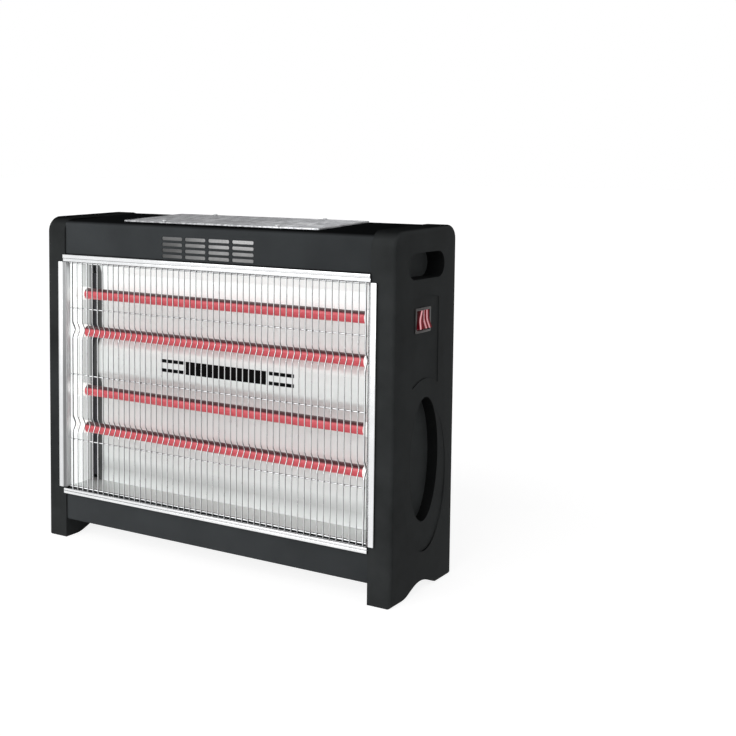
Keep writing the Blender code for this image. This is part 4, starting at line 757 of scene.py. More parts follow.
def red_glass():
    """Glowing quartz: an even pink-red with a band of painted shade along the top."""
    tubes = bpy.context.scene.heater_tubes
    glow = tubes.glow_colour
    shade_band = tubes.shade_band_colour
    made, tree, shader = blank_finish("glowing_quartz_glass")
    mottle = grain(tree, 40.0, (0.3, 1.0, 1.0))
    shade_upwards = facing(tree, "Z", 0.0, 1.0, 0.4, 0.75)
    tones = ramp(tree, added(tree, mottle, 0.16, shade_upwards), (
        (0.0, shade(glow, 1.06)), (0.12, glow), (0.75, shade(shade_band, 1.3)), (1.0, shade_band),
    ))
    lay_on(
        tree, shader, tones, ranged(tree, mottle, 0.22, 0.34), grain(tree, 600.0), 0.003 * MM,
        glow=tubes.glow,
    )
    return made


def ceramic():
    # White ceramic that also gives off painted light
    return plain_finish(
        "white_ceramic", (0.86, 0.85, 0.83), (0.94, 0.93, 0.91), (0.35, 0.5),
        patches=220.0, fine=1800.0, height=0.02 * MM, glow=0.42,
    )


def red_with_painted_highlights(index):
    """Dark red plastic of one lit rocker, which gives off the light of its lamp, with painted highlights in
    pale streaks and painted shade in its darkest bands.
    """
    switch = bpy.context.scene.heater_switch
    red = switch.rocker_colour
    painted_highlight = switch.painted_highlight_colour
    # Painted highlights and painted shade, slanted across the first rocker and upright on the second
    slanted = (
        (0.2, shade(red, 0.15)), (0.4, shade(red, 0.5)), (0.46, painted_highlight), (0.54, painted_highlight),
        (0.6, red), (0.9, shade(red, 0.5)),
    )
    upright = (
        (0.06, shade(painted_highlight, 0.8)), (0.2, red), (0.42, shade(red, 0.5)), (0.5, shade(painted_highlight, 0.9)),
        (0.64, shade(painted_highlight, 0.8)), (0.74, red), (1.0, shade(red, 0.4)),
    )
    lean, start, end, stops = {
        1: (-0.5, -213 * MM, -185 * MM, slanted),
        2: (0.0, -5.5 * MM, 10.8 * MM, upright),
    }[index]
    made, tree, shader = blank_finish(f"lit_red_plastic_{index}")
    reach = tree.nodes.new("ShaderNodeVectorMath")
    reach.operation = "DOT_PRODUCT"
    reach.inputs[1].default_value = (0.0, 1.0, lean)
    tree.links.new(object_place(tree), reach.inputs[0])
    tones = ramp(tree, ranged(tree, reach.outputs["Value"], 0.0, 1.0, start, end), stops)
    shader.inputs["Specular IOR Level"].default_value = 0.02
    lay_on(
        tree, shader, tones, patchy(tree, 300.0, 0.3, 0.4), grain(tree, 2000.0), 0.002 * MM, glow=0.4,
    )
    return made


def switch_black():
    """Smooth black plastic of the switch's bezel, with painted shade on its edge towards the front."""
    return plain_finish(
        "switch_frame_black", (0.06, 0.056, 0.055), (0.09, 0.084, 0.083), (0.3, 0.42),
        patches=80.0, height=0.008 * MM, sheen=0.15, painted_shade=("Y", 0.3, -0.5, -0.9),
    )


def bar_lacquer():
    return plain_finish(
        "bar_black_lacquer", (0.002, 0.002, 0.002), (0.004, 0.004, 0.004), (0.5, 0.6), sheen=0.03,
    )


def black_nylon():
    """Nylon of the cord gland, the grommet and the tilt switch."""
    light = (0.02, 0.02, 0.021)
    return plain_finish(
        "fitting_black_nylon", shade(light, 0.75), light, (0.4, 0.55), patches=80.0, height=0.008 * MM,
    )


def grey_nylon():
    return plain_finish("grey_nylon_case", (0.16, 0.16, 0.17), (0.24, 0.24, 0.25), (0.5, 0.65))


def woven_sheath():
    """Glass-fibre sleeving with its fine weave."""
    made, tree, shader = blank_finish("woven_sleeving")
    weave = grain(tree, 900.0, detail=1.0)
    tones = ramp(tree, weave, ((0.35, (0.42, 0.40, 0.34)), (0.6, (0.72, 0.69, 0.60))))
    lay_on(tree, shader, tones, ranged(tree, weave, 0.7, 0.9), weave, 0.15 * MM)
    return made


def heating_wire():
    return plain_finish(
        "heating_wire", (0.30, 0.07, 0.03), (0.55, 0.16, 0.07), (0.4, 0.6), metal=0.6, patches=400.0,
    )


def fit(piece, finish, slot, *nodes, body="root"):
    """Gives a piece its finish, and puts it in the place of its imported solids."""
    piece.data.materials.clear()
    piece.data.materials.append(finish)
    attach(piece, body)
    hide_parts(*nodes)
    return piece


def paint(piece, finish, test):
    """Gives the picked faces of a fitted piece a finish of their own."""
    piece.data.materials.append(finish)
    edit(piece, "FACE")
    pick(piece, "FACE", test)
    piece.active_material_index = len(piece.data.materials) - 1
    bpy.ops.object.material_slot_assign()
    done()


def dress(node, finish):
    """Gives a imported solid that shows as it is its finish."""
    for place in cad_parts[node].material_slots:
        place.material = finish


# Settings

def length_field(name, description, default):
    return bpy.props.FloatProperty(
        name=name, description=description, default=default, min=0.0, unit="LENGTH", precision=5,
    )


def colour_field(name, description, default):
    return bpy.props.FloatVectorProperty(
        name=name, description=description, default=default, size=3, min=0.0, max=1.0, subtype="COLOR",
    )


def amount_field(name, description, default):
    return bpy.props.FloatProperty(name=name, description=description, default=default, min=0.0, max=10.0)


class HeaterStageSettings(bpy.types.PropertyGroup):
    lamp: amount_field("Lamp", "Strength of the main lamp", 2.5)
    fill: amount_field("Fill", "Strength of the lamp on the switch's side", 0.2)
    world: amount_field("World", "Strength of the light from all round", 0.25)
    floor_colour: colour_field("Floor", "Colour of the floor", (0.9, 0.9, 0.9))


class HeaterPanelSettings(bpy.types.PropertyGroup):
    edge_round: length_field("Edge round", "Rounding of the panels' outer edges", 5.5 * MM)
    handle_depth: length_field("Handle depth", "Depth of the handle pocket", 26 * MM)
    oval_depth: length_field("Oval depth", "Depth of the oval recess", 16 * MM)
    dish_depth: length_field("Dish depth", "Depth of the dish round the oval at its foot", 2 * MM)
    recess_depth: length_field("Recess depth", "Depth of the recess round the switch", 1.2 * MM)
    colour: colour_field("Plastic", "Colour of the moulded plastic", (0.028, 0.030, 0.0305))


class HeaterCasingSettings(bpy.types.PropertyGroup):
    fold: length_field("Fold", "Outer radius of the tight folds", 2 * MM)
    vent_length: length_field("Vent length", "Length of a slot in the fascia", 36 * MM)
    vent_height: length_field("Vent height", "Height of a slot in the fascia", 4.7 * MM)
    colour: colour_field("Coat", "Colour of the powder coat", (0.046, 0.050, 0.0525))


class HeaterMeshSettings(bpy.types.PropertyGroup):
    pitch: length_field("Pitch", "Length of a mesh opening along the heater", 10.4 * MM)
    row: length_field("Row", "Distance between the rows of strands", 2.6 * MM)
    strand: length_field("Strand", "Width of a strand", 1.2 * MM)
    colour: colour_field("Metal", "Colour of the mesh", (0.42, 0.425, 0.44))


class HeaterGuardSettings(bpy.types.PropertyGroup):
    wire: length_field("Wire", "Radius of the upright wires", 0.85 * MM)
    rail: length_field("Rail", "Radius of the rails and the end wires", 1.4 * MM)
    cross: length_field("Cross wire", "Radius of the cross wires", 1.0 * MM)
    pitch: length_field("Pitch", "Distance between the upright wires", 10.2 * MM)
    crimp: length_field("Crimp", "Depth of a crimp", 6 * MM)
    crimp_round: length_field("Crimp round", "Rounding at the bends of a crimp", 7 * MM)
    colour: colour_field("Chrome", "Colour of the chrome", (0.84, 0.85, 0.86))


class HeaterReflectorSettings(bpy.types.PropertyGroup):
    hump_round: length_field("Hump round", "Rounding at the bends of the reflector", 20 * MM)
    badge_edge: length_field("Badge edge", "Rounding of the bar's edges", 0.2 * MM)
    colour: colour_field("Metal", "Colour of the polished sheet", (0.89, 0.925, 0.915))


class HeaterTubeSettings(bpy.types.PropertyGroup):
    radius: length_field("Radius", "Outer radius of a tube", 8.2 * MM)
    wall: length_field("Wall", "Thickness of a tube's wall", 1.2 * MM)
    glow: amount_field("Glow", "Strength of the tubes' own light", 0.4)
    glow_colour: colour_field("Glow colour", "Colour of the tubes", (0.50, 0.068, 0.084))
    # Colour of the painted shade along the tubes' top
    shade_band_colour: colour_field("Band colour", "Colour of the band along the top", (0.05, 0.011, 0.014))


class HeaterSwitchSettings(bpy.types.PropertyGroup):
    bezel_edge: length_field("Bezel edge", "Rounding of the bezel's edges", 0.5 * MM)
    rocker_edge: length_field("Rocker edge", "Rounding of the rockers' edges", 0.45 * MM)
    rocker_colour: colour_field("Rocker", "Colour of the rockers", (0.16, 0.004, 0.01))
    # Colour of the painted highlights on the rockers
    painted_highlight_colour: colour_field("Highlight", "Colour where the lamp shows through", (0.85, 0.42, 0.45))


# The stage

class HEATER_OT_stage(bpy.types.Operator):
    """Make the floor, the lamps, the world and the camera"""
    bl_idname = "heater.stage"
    bl_label = "Stage"

    def execute(self, context):
        settings = context.scene.heater_stage
        context.scene.view_settings.view_transform = "Standard"
        self.make_world(context.scene, settings)
        self.make_floor(settings)
        self.make_lamp("main_lamp", settings.lamp, (72, 0, -8), 70)
        self.make_lamp("side_lamp", settings.fill, (55, 0, 75), 60)
        self.make_camera(context.scene)
        return {"FINISHED"}

    def mix(self, tree, lighting, shown, output):
        """One surface for the rays that carry light, and another for those that see it."""
        path = tree.nodes.new("ShaderNodeLightPath")
        seen = path.outputs["Is Camera Ray"]
        for ray in ("Is Glossy Ray", "Is Transmission Ray"):
            node = tree.nodes.new("ShaderNodeMath")
            node.operation = "MAXIMUM"
            tree.links.new(seen, node.inputs[0])
            tree.links.new(path.outputs[ray], node.inputs[1])
            seen = node.outputs["Value"]
        mixer = tree.nodes.new("ShaderNodeMixShader")
        for value, socket in zip((seen, lighting.outputs[0], shown.outputs[0]), mixer.inputs):
            tree.links.new(value, socket)
        tree.links.new(mixer.outputs[0], tree.nodes[output].inputs["Surface"])

    def make_world(self, scene, settings):
        world = bpy.data.worlds.new("studio")
        world.use_nodes = True
        scene.world = world
        tree = world.node_tree
        light = tree.nodes["Background"]
        white = tree.nodes.new("ShaderNodeBackground")
        for node, strength in ((light, settings.world), (white, 1.0)):
            node.inputs["Color"].default_value = (1.0, 1.0, 1.0, 1.0)
            node.inputs["Strength"].default_value = strength
        self.mix(tree, light, white, "World Output")

    def make_floor(self, settings):
        """A pale floor that carries light as it is, and shows as nearly white with soft shadows."""
        shown_grey = (0.34, 0.34, 0.34, 1.0)
        shown_light = 0.86
        deselect_all()
        bpy.ops.mesh.primitive_plane_add(size=60.0)
        floor = new_piece("floor")
        made, tree, shader = blank_finish("pale_floor")
        tone = settings.floor_colour
        tones = mottled(tree, grain(tree, 3.0), shade(tone, 0.985), shade(tone, 1.0))
        plain = tree.nodes.new("ShaderNodeBsdfDiffuse")
        tree.links.new(tones, plain.inputs["Color"])
        shown = tree.nodes.new("ShaderNodeBsdfDiffuse")
        shown.inputs["Color"].default_value = shown_grey
        light = tree.nodes.new("ShaderNodeEmission")
        light.inputs["Strength"].default_value = shown_light
        both = tree.nodes.new("ShaderNodeAddShader")
        tree.links.new(shown.outputs[0], both.inputs[0])
        tree.links.new(light.outputs[0], both.inputs[1])
        self.mix(tree, plain, both, "Material Output")
        tree.nodes.remove(shader)
        floor.data.materials.append(made)

    def make_lamp(self, name, strength, turn, spread):
        """A lamp like the sun, with its turn and its spread in degrees."""
        bpy.ops.object.light_add(type="SUN", rotation=[math.radians(angle) for angle in turn])
        lamp = new_piece(name)
        lamp.data.energy = strength
        lamp.data.angle = math.radians(spread)

    def make_camera(self, scene):
        """The camera of the photo, worked out from its perspective; angles are in radians."""
        turn, drop, roll = 0.548636, 0.076438, 0.01128
        eye = (1.042, -1.421, 0.568)
        level = Vector((math.cos(turn), math.sin(turn), 0.0))
        forward = Vector((-math.sin(turn), math.cos(turn), 0.0))
        ahead = math.cos(drop) * forward - math.sin(drop) * Vector((0.0, 0.0, 1.0))
        upright = level.cross(ahead)
        right = math.cos(roll) * level + math.sin(roll) * upright
        up = math.cos(roll) * upright - math.sin(roll) * level
        bpy.ops.object.camera_add()
        camera = new_piece("camera")
        camera.data.sensor_width = 36.0
        camera.data.lens = 59.84
        camera.data.shift_x = 0.0322
        camera.data.shift_y = -0.1484
        camera.data.clip_start = 0.05
        camera.data.clip_end = 200.0
        place = Matrix((right, up, -ahead)).transposed().to_4x4()
        place.translation = eye
        camera.matrix_world = place
        scene.camera = camera


# The moulded side panels

PANEL_LOW = -40 * MM
CORNER_REAR = 20 * MM
CORNER_FRONT = 22 * MM
TOP_DROP = 4 * MM
ARCH_Y, ARCH_HALF, ARCH_RISE = -4 * MM, 60 * MM, 15.5 * MM
FOOT_ROUND = 12 * MM
HANDLE_Y, HANDLE_Z = 2 * MM, HEIGHT - 51.5 * MM
HANDLE_HALF, HANDLE_RISE = 50 * MM, 17.5 * MM
# The middles of the oval recess and the dish round it, and their reach across and up
OVAL = (3 * MM, 179 * MM, 39 * MM, 84 * MM)
DISH = (6 * MM, 154 * MM, 58 * MM, 100 * MM)
RECESS_Y, RECESS_HALF = 2 * MM, 36 * MM
RECESS_LOW, RECESS_HIGH = 278 * MM, 394 * MM
RECESS_ARCH_LOW, RECESS_ARCH_HIGH = 10 * MM, 5 * MM
HOLE_HALF, HOLE_RISE, HOLE_DEPTH = 19.2 * MM, 14.2 * MM, 17 * MM


def arc(centre, radius, start, end, steps=8):
    """Points on a part of a circle, between two angles."""
    turns = [start + (end - start) * step / steps for step in range(steps + 1)]
    return [Vector(centre) + radius * Vector((math.cos(turn), math.sin(turn))) for turn in turns]


def oval(y, z, across, rise, grow=0.0, steps=72):
    """The points of an oval round a place, made wider all round by an amount."""
    turns = [math.tau * step / steps for step in range(steps)]
    return [
        Vector((y + (across + grow) * math.cos(turn), z + (rise + grow) * math.sin(turn)))
        for turn in turns
    ]


def depth_of(place):
    """How far a place lies under the panels' outer faces."""
    return PANEL_OUTER - abs(place.x)


class HEATER_OT_side_panels(bpy.types.Operator):
    """Make the two moulded side panels with their feet, pockets and recesses"""
    bl_idname = "heater.side_panels"
    bl_label = "Side panels"

    def execute(self, context):
        settings = context.scene.heater_panels
        # Painted shade on the panels' upper faces
        finish = panel_plastic("moulded_black_plastic", 0.8, 1.25, ("Z", 0.35, 0.5, 0.9))
        right = self.make_panel("panel_shell_right", settings, True)
        fit(right, finish, "black_plastic", "side_panel_right")
        plain = self.make_panel("panel_shell_plain", settings, False)
        left = mirror_of(plain, "panel_shell_left")
        bpy.data.objects.remove(plain, do_unlink=True)
        smooth(left, 32)
        fit(left, finish, "black_plastic", "side_panel_left")
        self.paint_recesses((right, left), settings)
        return {"FINISHED"}

    def paint_recesses(self, panels, settings):
        """Painted shade on the walls of the handle and the oval, and painted light on their floors."""
        deepest = settings.handle_depth + MM
        painted_shade_walls = recess_plastic_in_painted_light("recess_wall_plastic", 0.3)
        painted_light_floors = (
            (recess_plastic_in_painted_light("pocket_floor_plastic", 2.4), self.in_handle, settings.handle_depth),
            (recess_plastic_in_painted_light("oval_floor_plastic", 1.5), self.in_oval, settings.oval_depth),
        )
        for panel in panels:
            paint(panel, painted_shade_walls, lambda place, normal: (
                abs(normal.x) < 0.6 and 0.2 * MM < depth_of(place) < deepest
                and (self.in_handle(place) or self.in_oval(place))
            ))
            for finish, inside, depth in painted_light_floors:
                paint(panel, finish, lambda place, normal: (
                    abs(normal.x) > 0.9 and abs(depth_of(place) - depth) < MM and inside(place)
                ))

    def in_handle(self, place, slack=0.3 * MM):
        return abs(place.y - HANDLE_Y) < HANDLE_HALF + slack and abs(place.z - HANDLE_Z) < HANDLE_RISE + slack

    def in_oval(self, place, slack=0.3 * MM):
        y, z, across, rise = OVAL
        return math.hypot((place.y - y) / (across + slack), (place.z - z) / (rise + slack)) < 1.0

    def blank(self, name, inset, inner, outer, edge_round):
        """A block with the panel's side outline and rounded outer edges, which runs below the floor."""
        front = PANEL_FRONT + inset
        rear = PANEL_REAR - inset
        top = HEIGHT - inset
        outline = loop((
            (front, PANEL_LOW, 0.0), (rear, PANEL_LOW, 0.0),
            (rear, top, CORNER_REAR - inset), (front, top - TOP_DROP, CORNER_FRONT - inset),
        ), 12)
        item = drawn(name, outline, "X", inner, outer)
        return round_edges(item, lambda place: place.x > outer - HAIR, edge_round, 6)

    def foot_cutter(self, name):
        """What is cut away under the panel: the floor line, the arch and the rear foot's round."""
        front = PANEL_FRONT - CUT_MARGIN
        rear = PANEL_REAR + CUT_MARGIN
        points = [Vector((front, 0.0))]
        for step in range(-16, 17):
            reach = step / 16
            rise = ARCH_RISE * (1 + math.cos(math.pi * reach)) / 2
            points.append(Vector((ARCH_Y + ARCH_HALF * reach, rise)))
        points += arc((PANEL_REAR - FOOT_ROUND, FOOT_ROUND), FOOT_ROUND, -math.pi / 2, 0.0)
        points += [Vector((rear, FOOT_ROUND)), Vector((rear, -FAR)), Vector((front, -FAR))]
        return drawn(name, points, "X", PANEL_INNER - FAR, PANEL_OUTER + FAR / 2)

    def foot_corner(self, name, radius):
        """What is cut away along the feet's outer lower edge, to round it."""
        beyond = PANEL_OUTER + CUT_MARGIN
        middle_x = PANEL_OUTER - radius
        points = [Vector((middle_x, -CUT_MARGIN)), Vector((beyond, -CUT_MARGIN)), Vector((beyond, radius))]
        points += arc((middle_x, radius), radius, 0.0, -math.pi / 2)
        return drawn(name, points, "Y", PANEL_FRONT - CUT_MARGIN, PANEL_REAR + CUT_MARGIN)

    def handle(self, grow):
        half = HANDLE_HALF + grow
        rise = HANDLE_RISE + grow
        return oblong(HANDLE_Y - half, HANDLE_Y + half, HANDLE_Z - rise, HANDLE_Z + rise, rise - HAIR, 12)

    def recess(self, grow):
        """Straight sides, with the top and the bottom arched up."""
        half = RECESS_HALF + grow
        points = []
        for side, level, arch in (
            (1, RECESS_LOW - grow, RECESS_ARCH_LOW), (-1, RECESS_HIGH + grow, RECESS_ARCH_HIGH),
        ):
            for step in range(-8, 9):
                reach = step / 8
                points.append(Vector((RECESS_Y + side * half * reach, level + arch * (1 - reach * reach))))
        return points

    def hollow(self, name, edge_round, kept):
        """The panel's inside, which leaves a wall round the outlines that sink in, and solid feet."""
        item = self.blank(
            name + "_hollow", WALL, PANEL_INNER - FAR / 2, PANEL_OUTER - WALL, edge_round - WALL,
        )
        cut(item, block(
            name + "_solid_feet", (PANEL_INNER - FAR, PANEL_FRONT - CUT_MARGIN, -FAR),
            (PANEL_OUTER + FAR / 2, PANEL_REAR + CUT_MARGIN, PAN_BOTTOM),
        ))
        for outline, depth in kept:
            low = PANEL_OUTER - depth - WALL
            cut(item, drawn(name + "_wall", outline(WALL), "X", low, PANEL_OUTER + FAR / 2))
        return item

    def dish_cutter(self, name, dish_depth):
        """The dish is deepest at its foot, and comes out to the panel's face at its top."""
        _, z, _, rise = DISH
        item = drawn(name + "_dish", oval(*DISH), "X", PANEL_OUTER, PANEL_OUTER + FAR / 2)
        pivot = Vector((PANEL_OUTER, 0.0, z + rise))
        turn = Matrix.Rotation(math.atan2(dish_depth, 2 * rise), 4, "Y")
        item.matrix_world = Matrix.Translation(pivot) @ turn @ Matrix.Translation(-pivot)
        return settle(item)

    def make_panel(self, name, settings, has_switch):
        sunk = [
            (self.handle, settings.handle_depth),
            (lambda grow: oval(*OVAL, grow), settings.oval_depth),
        ]
        dish = (lambda grow: oval(*DISH, grow), settings.dish_depth)
        switch_recess = [(self.recess, settings.recess_depth)] if has_switch else []
        item = self.blank(name, 0.0, PANEL_INNER, PANEL_OUTER, settings.edge_round)
        cut(item, self.foot_cutter(name + "_feet"))
        cut(item, self.foot_corner(name + "_corner", settings.edge_round))
        cut(item, self.hollow(name, settings.edge_round, [*sunk, dish, *switch_recess]))
        cut(item, self.dish_cutter(name, settings.dish_depth))
        for outline, depth in sunk + switch_recess:
            cut(item, drawn(name + "_cut", outline(0.0), "X", PANEL_OUTER - depth, PANEL_OUTER + CUT_MARGIN))
        if has_switch:
            cut(item, self.switch_hole(name))
        return smooth(item, 32)

    def switch_hole(self, name):
        low = (PANEL_OUTER - HOLE_DEPTH, SWITCH_Y - HOLE_HALF, SWITCH_Z - HOLE_RISE)
        high = (PANEL_OUTER + CUT_MARGIN, SWITCH_Y + HOLE_HALF, SWITCH_Z + HOLE_RISE)
        return block(name + "_switch_hole", low, high)


# The folded casing

REAR_FLANGE = 28 * MM
PAN_FLANGE = 18 * MM
TOP_ROUND_REAR, TOP_ROUND_FRONT = 8 * MM, 9 * MM
OUTLET_SIDE, OUTLET_FRONT, OUTLET_REAR = 15 * MM, 12 * MM, 14 * MM
OUTLET_ROUND = 8 * MM
SLOT_COUNT = 4
VENT_GAP_X, VENT_GAP_Z = 5 * MM, 3.6 * MM
VENTS_ABOVE_STEP = 3.5 * MM
BACK_SLOT_HALF, BACK_SLOT_RISE = 20 * MM, 2 * MM
BACK_SLOT_PITCH_X, BACK_SLOT_PITCH_Z = 56 * MM, 16 * MM
BACK_SLOTS_LOW = HEIGHT - 118 * MM
GLAND_HOLE = 7.2 * MM


class HEATER_OT_casing(bpy.types.Operator):
    """Make the upper casing and the base pan from folded sheet, and the back panel"""
    bl_idname = "heater.casing"
    bl_label = "Casing"

    def execute(self, context):
        settings = context.scene.heater_casing
        finish = charcoal_coat()
        fit(self.upper(settings), finish, "charcoal_paint", "upper_casing")
        fit(self.pan(settings.fold), finish, "charcoal_paint", "base_pan")
        fit(self.back(), finish, "charcoal_paint", "back_panel")
        return {"FINISHED"}

    def slot_grid(self, name, outline, low_y, high_y, pitch_x, pitch_z):
        """Cutters for four rows of four slots, from the outline of the lowest on the left."""
        slots = drawn(name, outline, "Y", low_y, high_y)
        repeated(slots, SLOT_COUNT, (pitch_x, 0.0, 0.0))
        return repeated(slots, SLOT_COUNT, (0.0, 0.0, pitch_z))

    def upper(self, settings):
        item = folded_sheet("casing_top_sheet", (
            (CASING_REAR, CASING_TOP_REAR - REAR_FLANGE, 0.0),
            (CASING_REAR, CASING_TOP_REAR, TOP_ROUND_REAR),
            (CASING_FRONT, CASING_TOP_FRONT, TOP_ROUND_FRONT),
            (CASING_FRONT, CASING_STEP, settings.fold),
            (LIP_FACE, CASING_STEP, settings.fold / 2),
            (LIP_FACE, OPENING_TOP, 0.0),
        ), CASING_X, SHEET, 10)
        cut(item, self.vents(settings))
        cut(item, self.outlet())
        return smooth(item, 30)

    def vents(self, settings):
        half = settings.vent_length / 2
        rise = settings.vent_height / 2
        pitch_x = settings.vent_length + VENT_GAP_X
        first_x = -pitch_x * (SLOT_COUNT - 1) / 2
        first_z = CASING_STEP + VENTS_ABOVE_STEP + rise
        outline = oblong(first_x - half, first_x + half, first_z - rise, first_z + rise, rise * 0.8, 5)
        return self.slot_grid(
            "vent_slots", outline, CASING_FRONT - CUT_MARGIN, CASING_FRONT + CUT_MARGIN,
            pitch_x, settings.vent_height + VENT_GAP_Z,
        )

    def outlet(self):
        """The opening in the top, under the mesh plate."""
        reach = MESH_X - OUTLET_SIDE
        outline = oblong(-reach, reach, MESH_FRONT + OUTLET_FRONT, MESH_REAR - OUTLET_REAR, OUTLET_ROUND)
        return drawn("top_opening", outline, "Z", CASING_TOP_FRONT - CUT_MARGIN, HEIGHT + CUT_MARGIN)

    def pan(self, fold):
        item = folded_sheet("base_sheet", (
            (LIP_FACE, OPENING_BOTTOM, 0.0),
            (LIP_FACE, PAN_STEP, fold / 2),
            (CASING_FRONT, PAN_STEP, fold),
            (CASING_FRONT, PAN_BOTTOM, fold * 1.5),
            (PAN_REAR, PAN_BOTTOM, fold),
            (PAN_REAR, PAN_BOTTOM + PAN_FLANGE, 0.0),
        ), CASING_X, SHEET)
        return smooth(item, 30)

    def back(self):
        beyond = CASING_REAR + FAR
        item = block("back_sheet", *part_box("back_panel"))
        first_x = -BACK_SLOT_PITCH_X * (SLOT_COUNT - 1) / 2
        outline = oblong(
            first_x - BACK_SLOT_HALF, first_x + BACK_SLOT_HALF,
            BACK_SLOTS_LOW - BACK_SLOT_RISE, BACK_SLOTS_LOW + BACK_SLOT_RISE, 1.5 * MM, 5,
        )
        cut(item, self.slot_grid("back_slots", outline, 0.0, beyond, BACK_SLOT_PITCH_X, BACK_SLOT_PITCH_Z))
        cut(item, drum("gland_hole", (GLAND_X, 0.0, GLAND_Z), (GLAND_X, beyond, GLAND_Z), GLAND_HOLE))
        return smooth(item, 30)


# The mesh plate and the screws

RIM_HEIGHT = 1.9 * MM
RIM_CORNER = 4 * MM
RIM_EDGE = 0.3 * MM
STRAND_END = 1.6 * MM
STRAND_LEAN, STRAND_RISE = 0.35 * MM, 1.1 * MM
STRAND_LOW = 0.7 * MM
PLATE_GAP = 0.3 * MM
SCREW_PROFILE = (
    (3.3 * MM, 0.0), (3.3 * MM, 0.7 * MM), (3.0 * MM, 1.15 * MM), (2.2 * MM, 1.5 * MM),
    (1.0 * MM, 1.6 * MM), (0.0, 1.6 * MM), (0.0, -8.0 * MM), (1.2 * MM, -8.0 * MM),
    (1.5 * MM, -7.4 * MM), (1.5 * MM, 0.0),
)
RECESS_LONG, RECESS_SHORT, RECESS_FLOOR = 2.1 * MM, 0.35 * MM, 0.9 * MM


def make_screw(name, under_head, up):
    """A pan-head screw with a cross recess, its head's underside at a place."""
    item = turned(name, SCREW_PROFILE, (0.0, 0.0, 0.0), (0, 0, 1), 24)
    for half_x, half_y in ((RECESS_LONG, RECESS_SHORT), (RECESS_SHORT, RECESS_LONG)):
        cut(item, block("cross_recess", (-half_x, -half_y, RECESS_FLOOR), (half_x, half_y, 3 * MM)))
    turn = Vector(up).to_track_quat("Z", "Y").to_matrix().to_4x4()
    item.matrix_world = Matrix.Translation(under_head) @ turn
    settle(item)
    return smooth(item, 30)


def fit_screws(label, node_label, count, axis, head, finish):
    """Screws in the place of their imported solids, their heads at the high end of an axis, 0 to 2."""
    for index in range(1, count + 1):
        node = f"{node_label}_{index}"
        under_head = [middle(node, part) for part in range(3)]
        under_head[axis] = span(node, axis)[1] - head
        up = [float(part == axis) for part in range(3)]
        fit(make_screw(f"{label}_{index}", under_head, up), finish, "plated_steel", node)


class HEATER_OT_mesh_plate(bpy.types.Operator):
    """Make the expanded-metal plate on the top and the screws that hold it"""
    bl_idname = "heater.mesh_plate"
    bl_label = "Mesh plate"

    def execute(self, context):
        fit(self.plate(context.scene.heater_mesh), expanded_metal(), "plated_steel", "mesh_plate")
        fit_screws("plate_screw", "mesh_screw", 4, 2, 1.7 * MM, screw_zinc("screw_zinc"))
        return {"FINISHED"}

    def strand_row(self, name, settings, flip, count):
        """Rows of one zigzag strand that runs along the heater."""
        half = MESH_X - STRAND_END
        amplitude = settings.row / 2 * flip
        turns = int(4 * half / settings.pitch)
        start = -settings.pitch * turns / 4
        spots = [
            Vector((start + settings.pitch / 2 * index, amplitude * (-1) ** index, 0.0))
            for index in range(turns + 1)
        ]
        item = first_point(name, spots[0])
        bpy.ops.mesh.extrude_vertices_move(TRANSFORM_OT_translate={"value": (0.0, STRAND_LEAN, STRAND_RISE)})
        sweep_on(spots)
        done()
        use(item, "SOLIDIFY", thickness=settings.strand, offset=0.0, use_even_offset=True)
        return repeated(item, count, (0.0, 2 * settings.row, 0.0))

    def rim(self, deep):
        item = drawn("mesh_rim", oblong(-MESH_X, MESH_X, 0.0, deep, RIM_CORNER), "Z", 0.0, RIM_HEIGHT)
        inner = oblong(-MESH_X + RIM, MESH_X - RIM, RIM, deep - RIM, RIM_CORNER - MM)
        cut(item, drawn("mesh_rim_inner", inner, "Z", -CUT_MARGIN, CUT_MARGIN))
        return round_edges(item, lambda place: place.z > RIM_HEIGHT - HAIR, RIM_EDGE, 2)

    def plate(self, settings):
        lean = math.atan(TOP_SLOPE)
        deep = (MESH_REAR - MESH_FRONT) / math.cos(lean)
        rows = int((deep - 2 * RIM) / settings.row)
        strands = []
        for flip in (1, -1):
            count = (rows + (flip == 1)) // 2
            row = self.strand_row(f"strands_{count}_{flip}", settings, flip, count)
            first = RIM + settings.row / 2 + (0.0 if flip == 1 else settings.row)
            row.location = (0.0, first, STRAND_LOW)
            strands.append(settle(row))
        item = joined("mesh_sheet", [self.rim(deep), *strands])
        place = (0.0, MESH_FRONT, casing_top(MESH_FRONT) + PLATE_GAP)
        item.matrix_world = Matrix.Translation(place) @ Matrix.Rotation(lean, 4, "X")
        settle(item)
        return smooth(item, 30)


# The guard and its chromed strips

WIRE_COUNT = 49
CRIMP_LEVELS = (175 * MM, 318 * MM)
CRIMP_HALF = 12 * MM
CROSS_LEVELS = (151 * MM, 250 * MM, 350 * MM)
RAIL_LEVELS = (OPENING_BOTTOM + 1.4 * MM, OPENING_TOP - 2.6 * MM)
GUARD_GAP = 0.3 * MM
WIRE_SINK = 0.5 * MM
BAR_END_GAP = 1.3 * MM
STRIP_EDGE = 0.3 * MM


